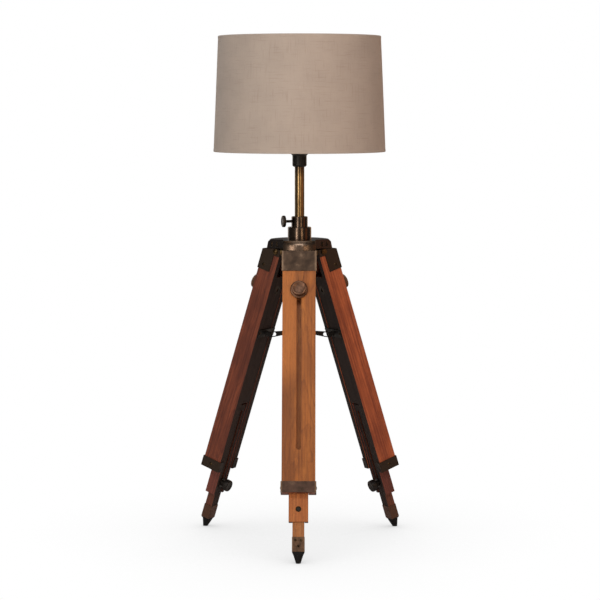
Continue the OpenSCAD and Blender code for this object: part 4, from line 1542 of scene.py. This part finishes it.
@dataclass
class Studio:
    """A pale floor, soft lamps, a white surround and the photograph's camera. Lengths are in metres."""

    image_px: int = 600
    focal_px: float = 2012.8
    sensor_mm: float = 36.0
    camera_at: Triple = (0.0322, -3.0274, 0.6675)
    tilt_deg: float = 5.537
    pan_deg: float = 0.596
    shift_y: float = -0.01
    sees: Span = (0.05, 60.0)
    ambient: float = 0.09
    mirrored: float = 0.12
    floor_half: float = 9.0
    shadow_reach: float = 0.3
    deepest_shadow: float = 0.3
    lamps: tuple[Softbox, ...] = (
        Softbox("key_left", (-1.15, -2.3, 0.75), (0.36, 1.4), 22.0, "#fff3e8"),
        Softbox("key_right", (1.05, -2.35, 0.75), (0.3, 1.4), 11.0, "#ffdcb6"),
        Softbox("side_right", (2.25, -0.85, 0.9), (0.7, 1.4), 4.5, "#ff9c50"),
        Softbox("front_high", (0.0, -2.1, 2.1), (1.1, 0.7), 21.0),
        Softbox("overhead", (0.0, -0.2, 2.6), (1.4, 1.4), 9.0),
        Softbox("back_left", (-1.4, 2.2, 1.2), (1.8, 2.0), 16.0, "#fff1e4"),
        Softbox("back_right", (1.4, 2.2, 1.2), (1.8, 2.0), 13.0, "#ffc994"),
    )

    def build(self) -> None:
        """Builds the floor, the lights, the surround and the camera."""
        bpy.context.scene.view_settings.view_transform = "Standard"
        self.floor()
        self.surround()
        for lamp in self.lamps:
            lamp.build()
        self.camera()

    def floor(self) -> None:
        """Builds the floor, which is white to the camera and keeps a soft shadow."""
        half = self.floor_half
        mesh = bpy.data.meshes.new("floor")
        rim = [(-half, -half, 0.0), (half, -half, 0.0), (half, half, 0.0), (-half, half, 0.0)]
        mesh.from_pydata(rim, [], [(0, 1, 2, 3)])
        material = bpy.data.materials.new("Paper_sweep_white")
        material.use_nodes = True
        node = partial(add, material.node_tree)
        material.node_tree.nodes.clear()
        paper = node("BsdfDiffuse", {"Color": "#e9e9e8"})
        # White paper, matt: an even pale ground that lights the lamp from below. The camera sees the
        # surround through it, darkened where the lamp keeps the light off it, so a leg that is pulled
        # out further than the floor still shows.
        open_sky = node("AmbientOcclusion", {"Distance": self.shadow_reach}, samples=16).outputs["AO"]
        shadow = node("MapRange", {"Value": open_sky, "To Min": self.deepest_shadow, "To Max": 1.0})
        sheet = {0: node("LightPath").outputs["Is Camera Ray"], 1: paper}
        sheet[2] = node("BsdfTransparent", {"Color": shadow})
        # From below the floor is clear, so that the lamp can be looked at from there.
        under = node("NewGeometry").outputs["Backfacing"]
        shown = node("MixShader", {0: under, 1: node("MixShader", sheet), 2: node("BsdfTransparent")})
        node("OutputMaterial", {"Surface": shown})
        mesh.materials.append(material)
        floor = bpy.data.objects.new("floor", mesh)
        bpy.context.scene.collection.objects.link(floor)

    def surround(self) -> None:
        """Makes the world: even light on the lamp, white where it is seen, dim in reflections."""
        world = bpy.data.worlds.new("studio")
        world.use_nodes = True
        node = partial(add, world.node_tree)
        world.node_tree.nodes.clear()
        path = node("LightPath").outputs
        seen = node("Math", {0: path["Is Camera Ray"], 1: path["Is Glossy Ray"]}, operation="MAXIMUM")
        seen = node("Math", {0: seen, 1: path["Is Transmission Ray"]}, operation="MAXIMUM")
        indirect = node("Mix", {0: seen, 2: self.ambient, 3: self.mirrored}, data_type="FLOAT")
        strength = node("Mix", {0: path["Is Camera Ray"], 2: indirect, 3: 1.0}, data_type="FLOAT")
        light = node("Background", {"Color": "#ffffff", "Strength": strength})
        node("OutputWorld", {"Surface": light})
        bpy.context.scene.world = world

    def camera(self) -> None:
        """Places the camera: a long lens, above the middle of the lamp, looking slightly down."""
        data = bpy.data.cameras.new("camera")
        data.sensor_width = self.sensor_mm
        data.lens = self.focal_px / self.image_px * self.sensor_mm
        data.shift_y = self.shift_y
        data.clip_start, data.clip_end = self.sees
        camera = bpy.data.objects.new("camera", data)
        camera.location = self.camera_at
        camera.rotation_euler = (math.radians(90.0 - self.tilt_deg), 0.0, math.radians(self.pan_deg))
        bpy.context.scene.collection.objects.link(camera)
        bpy.context.scene.camera = camera


def main() -> None:
    """Builds the studio and the lamp."""
    logging.basicConfig(level=logging.INFO, format="%(name)s %(message)s")
    Studio().build()
    for tag, azimuth, seed in (("a", -90.0, 0), ("b", 150.0, 1), ("c", 30.0, 2)):
        Leg(tag, azimuth, seed).build()
    Head().build()
    Spreader().build()
    Stem().build()
    Shade().build()


if __name__ == "__main__":
    main()
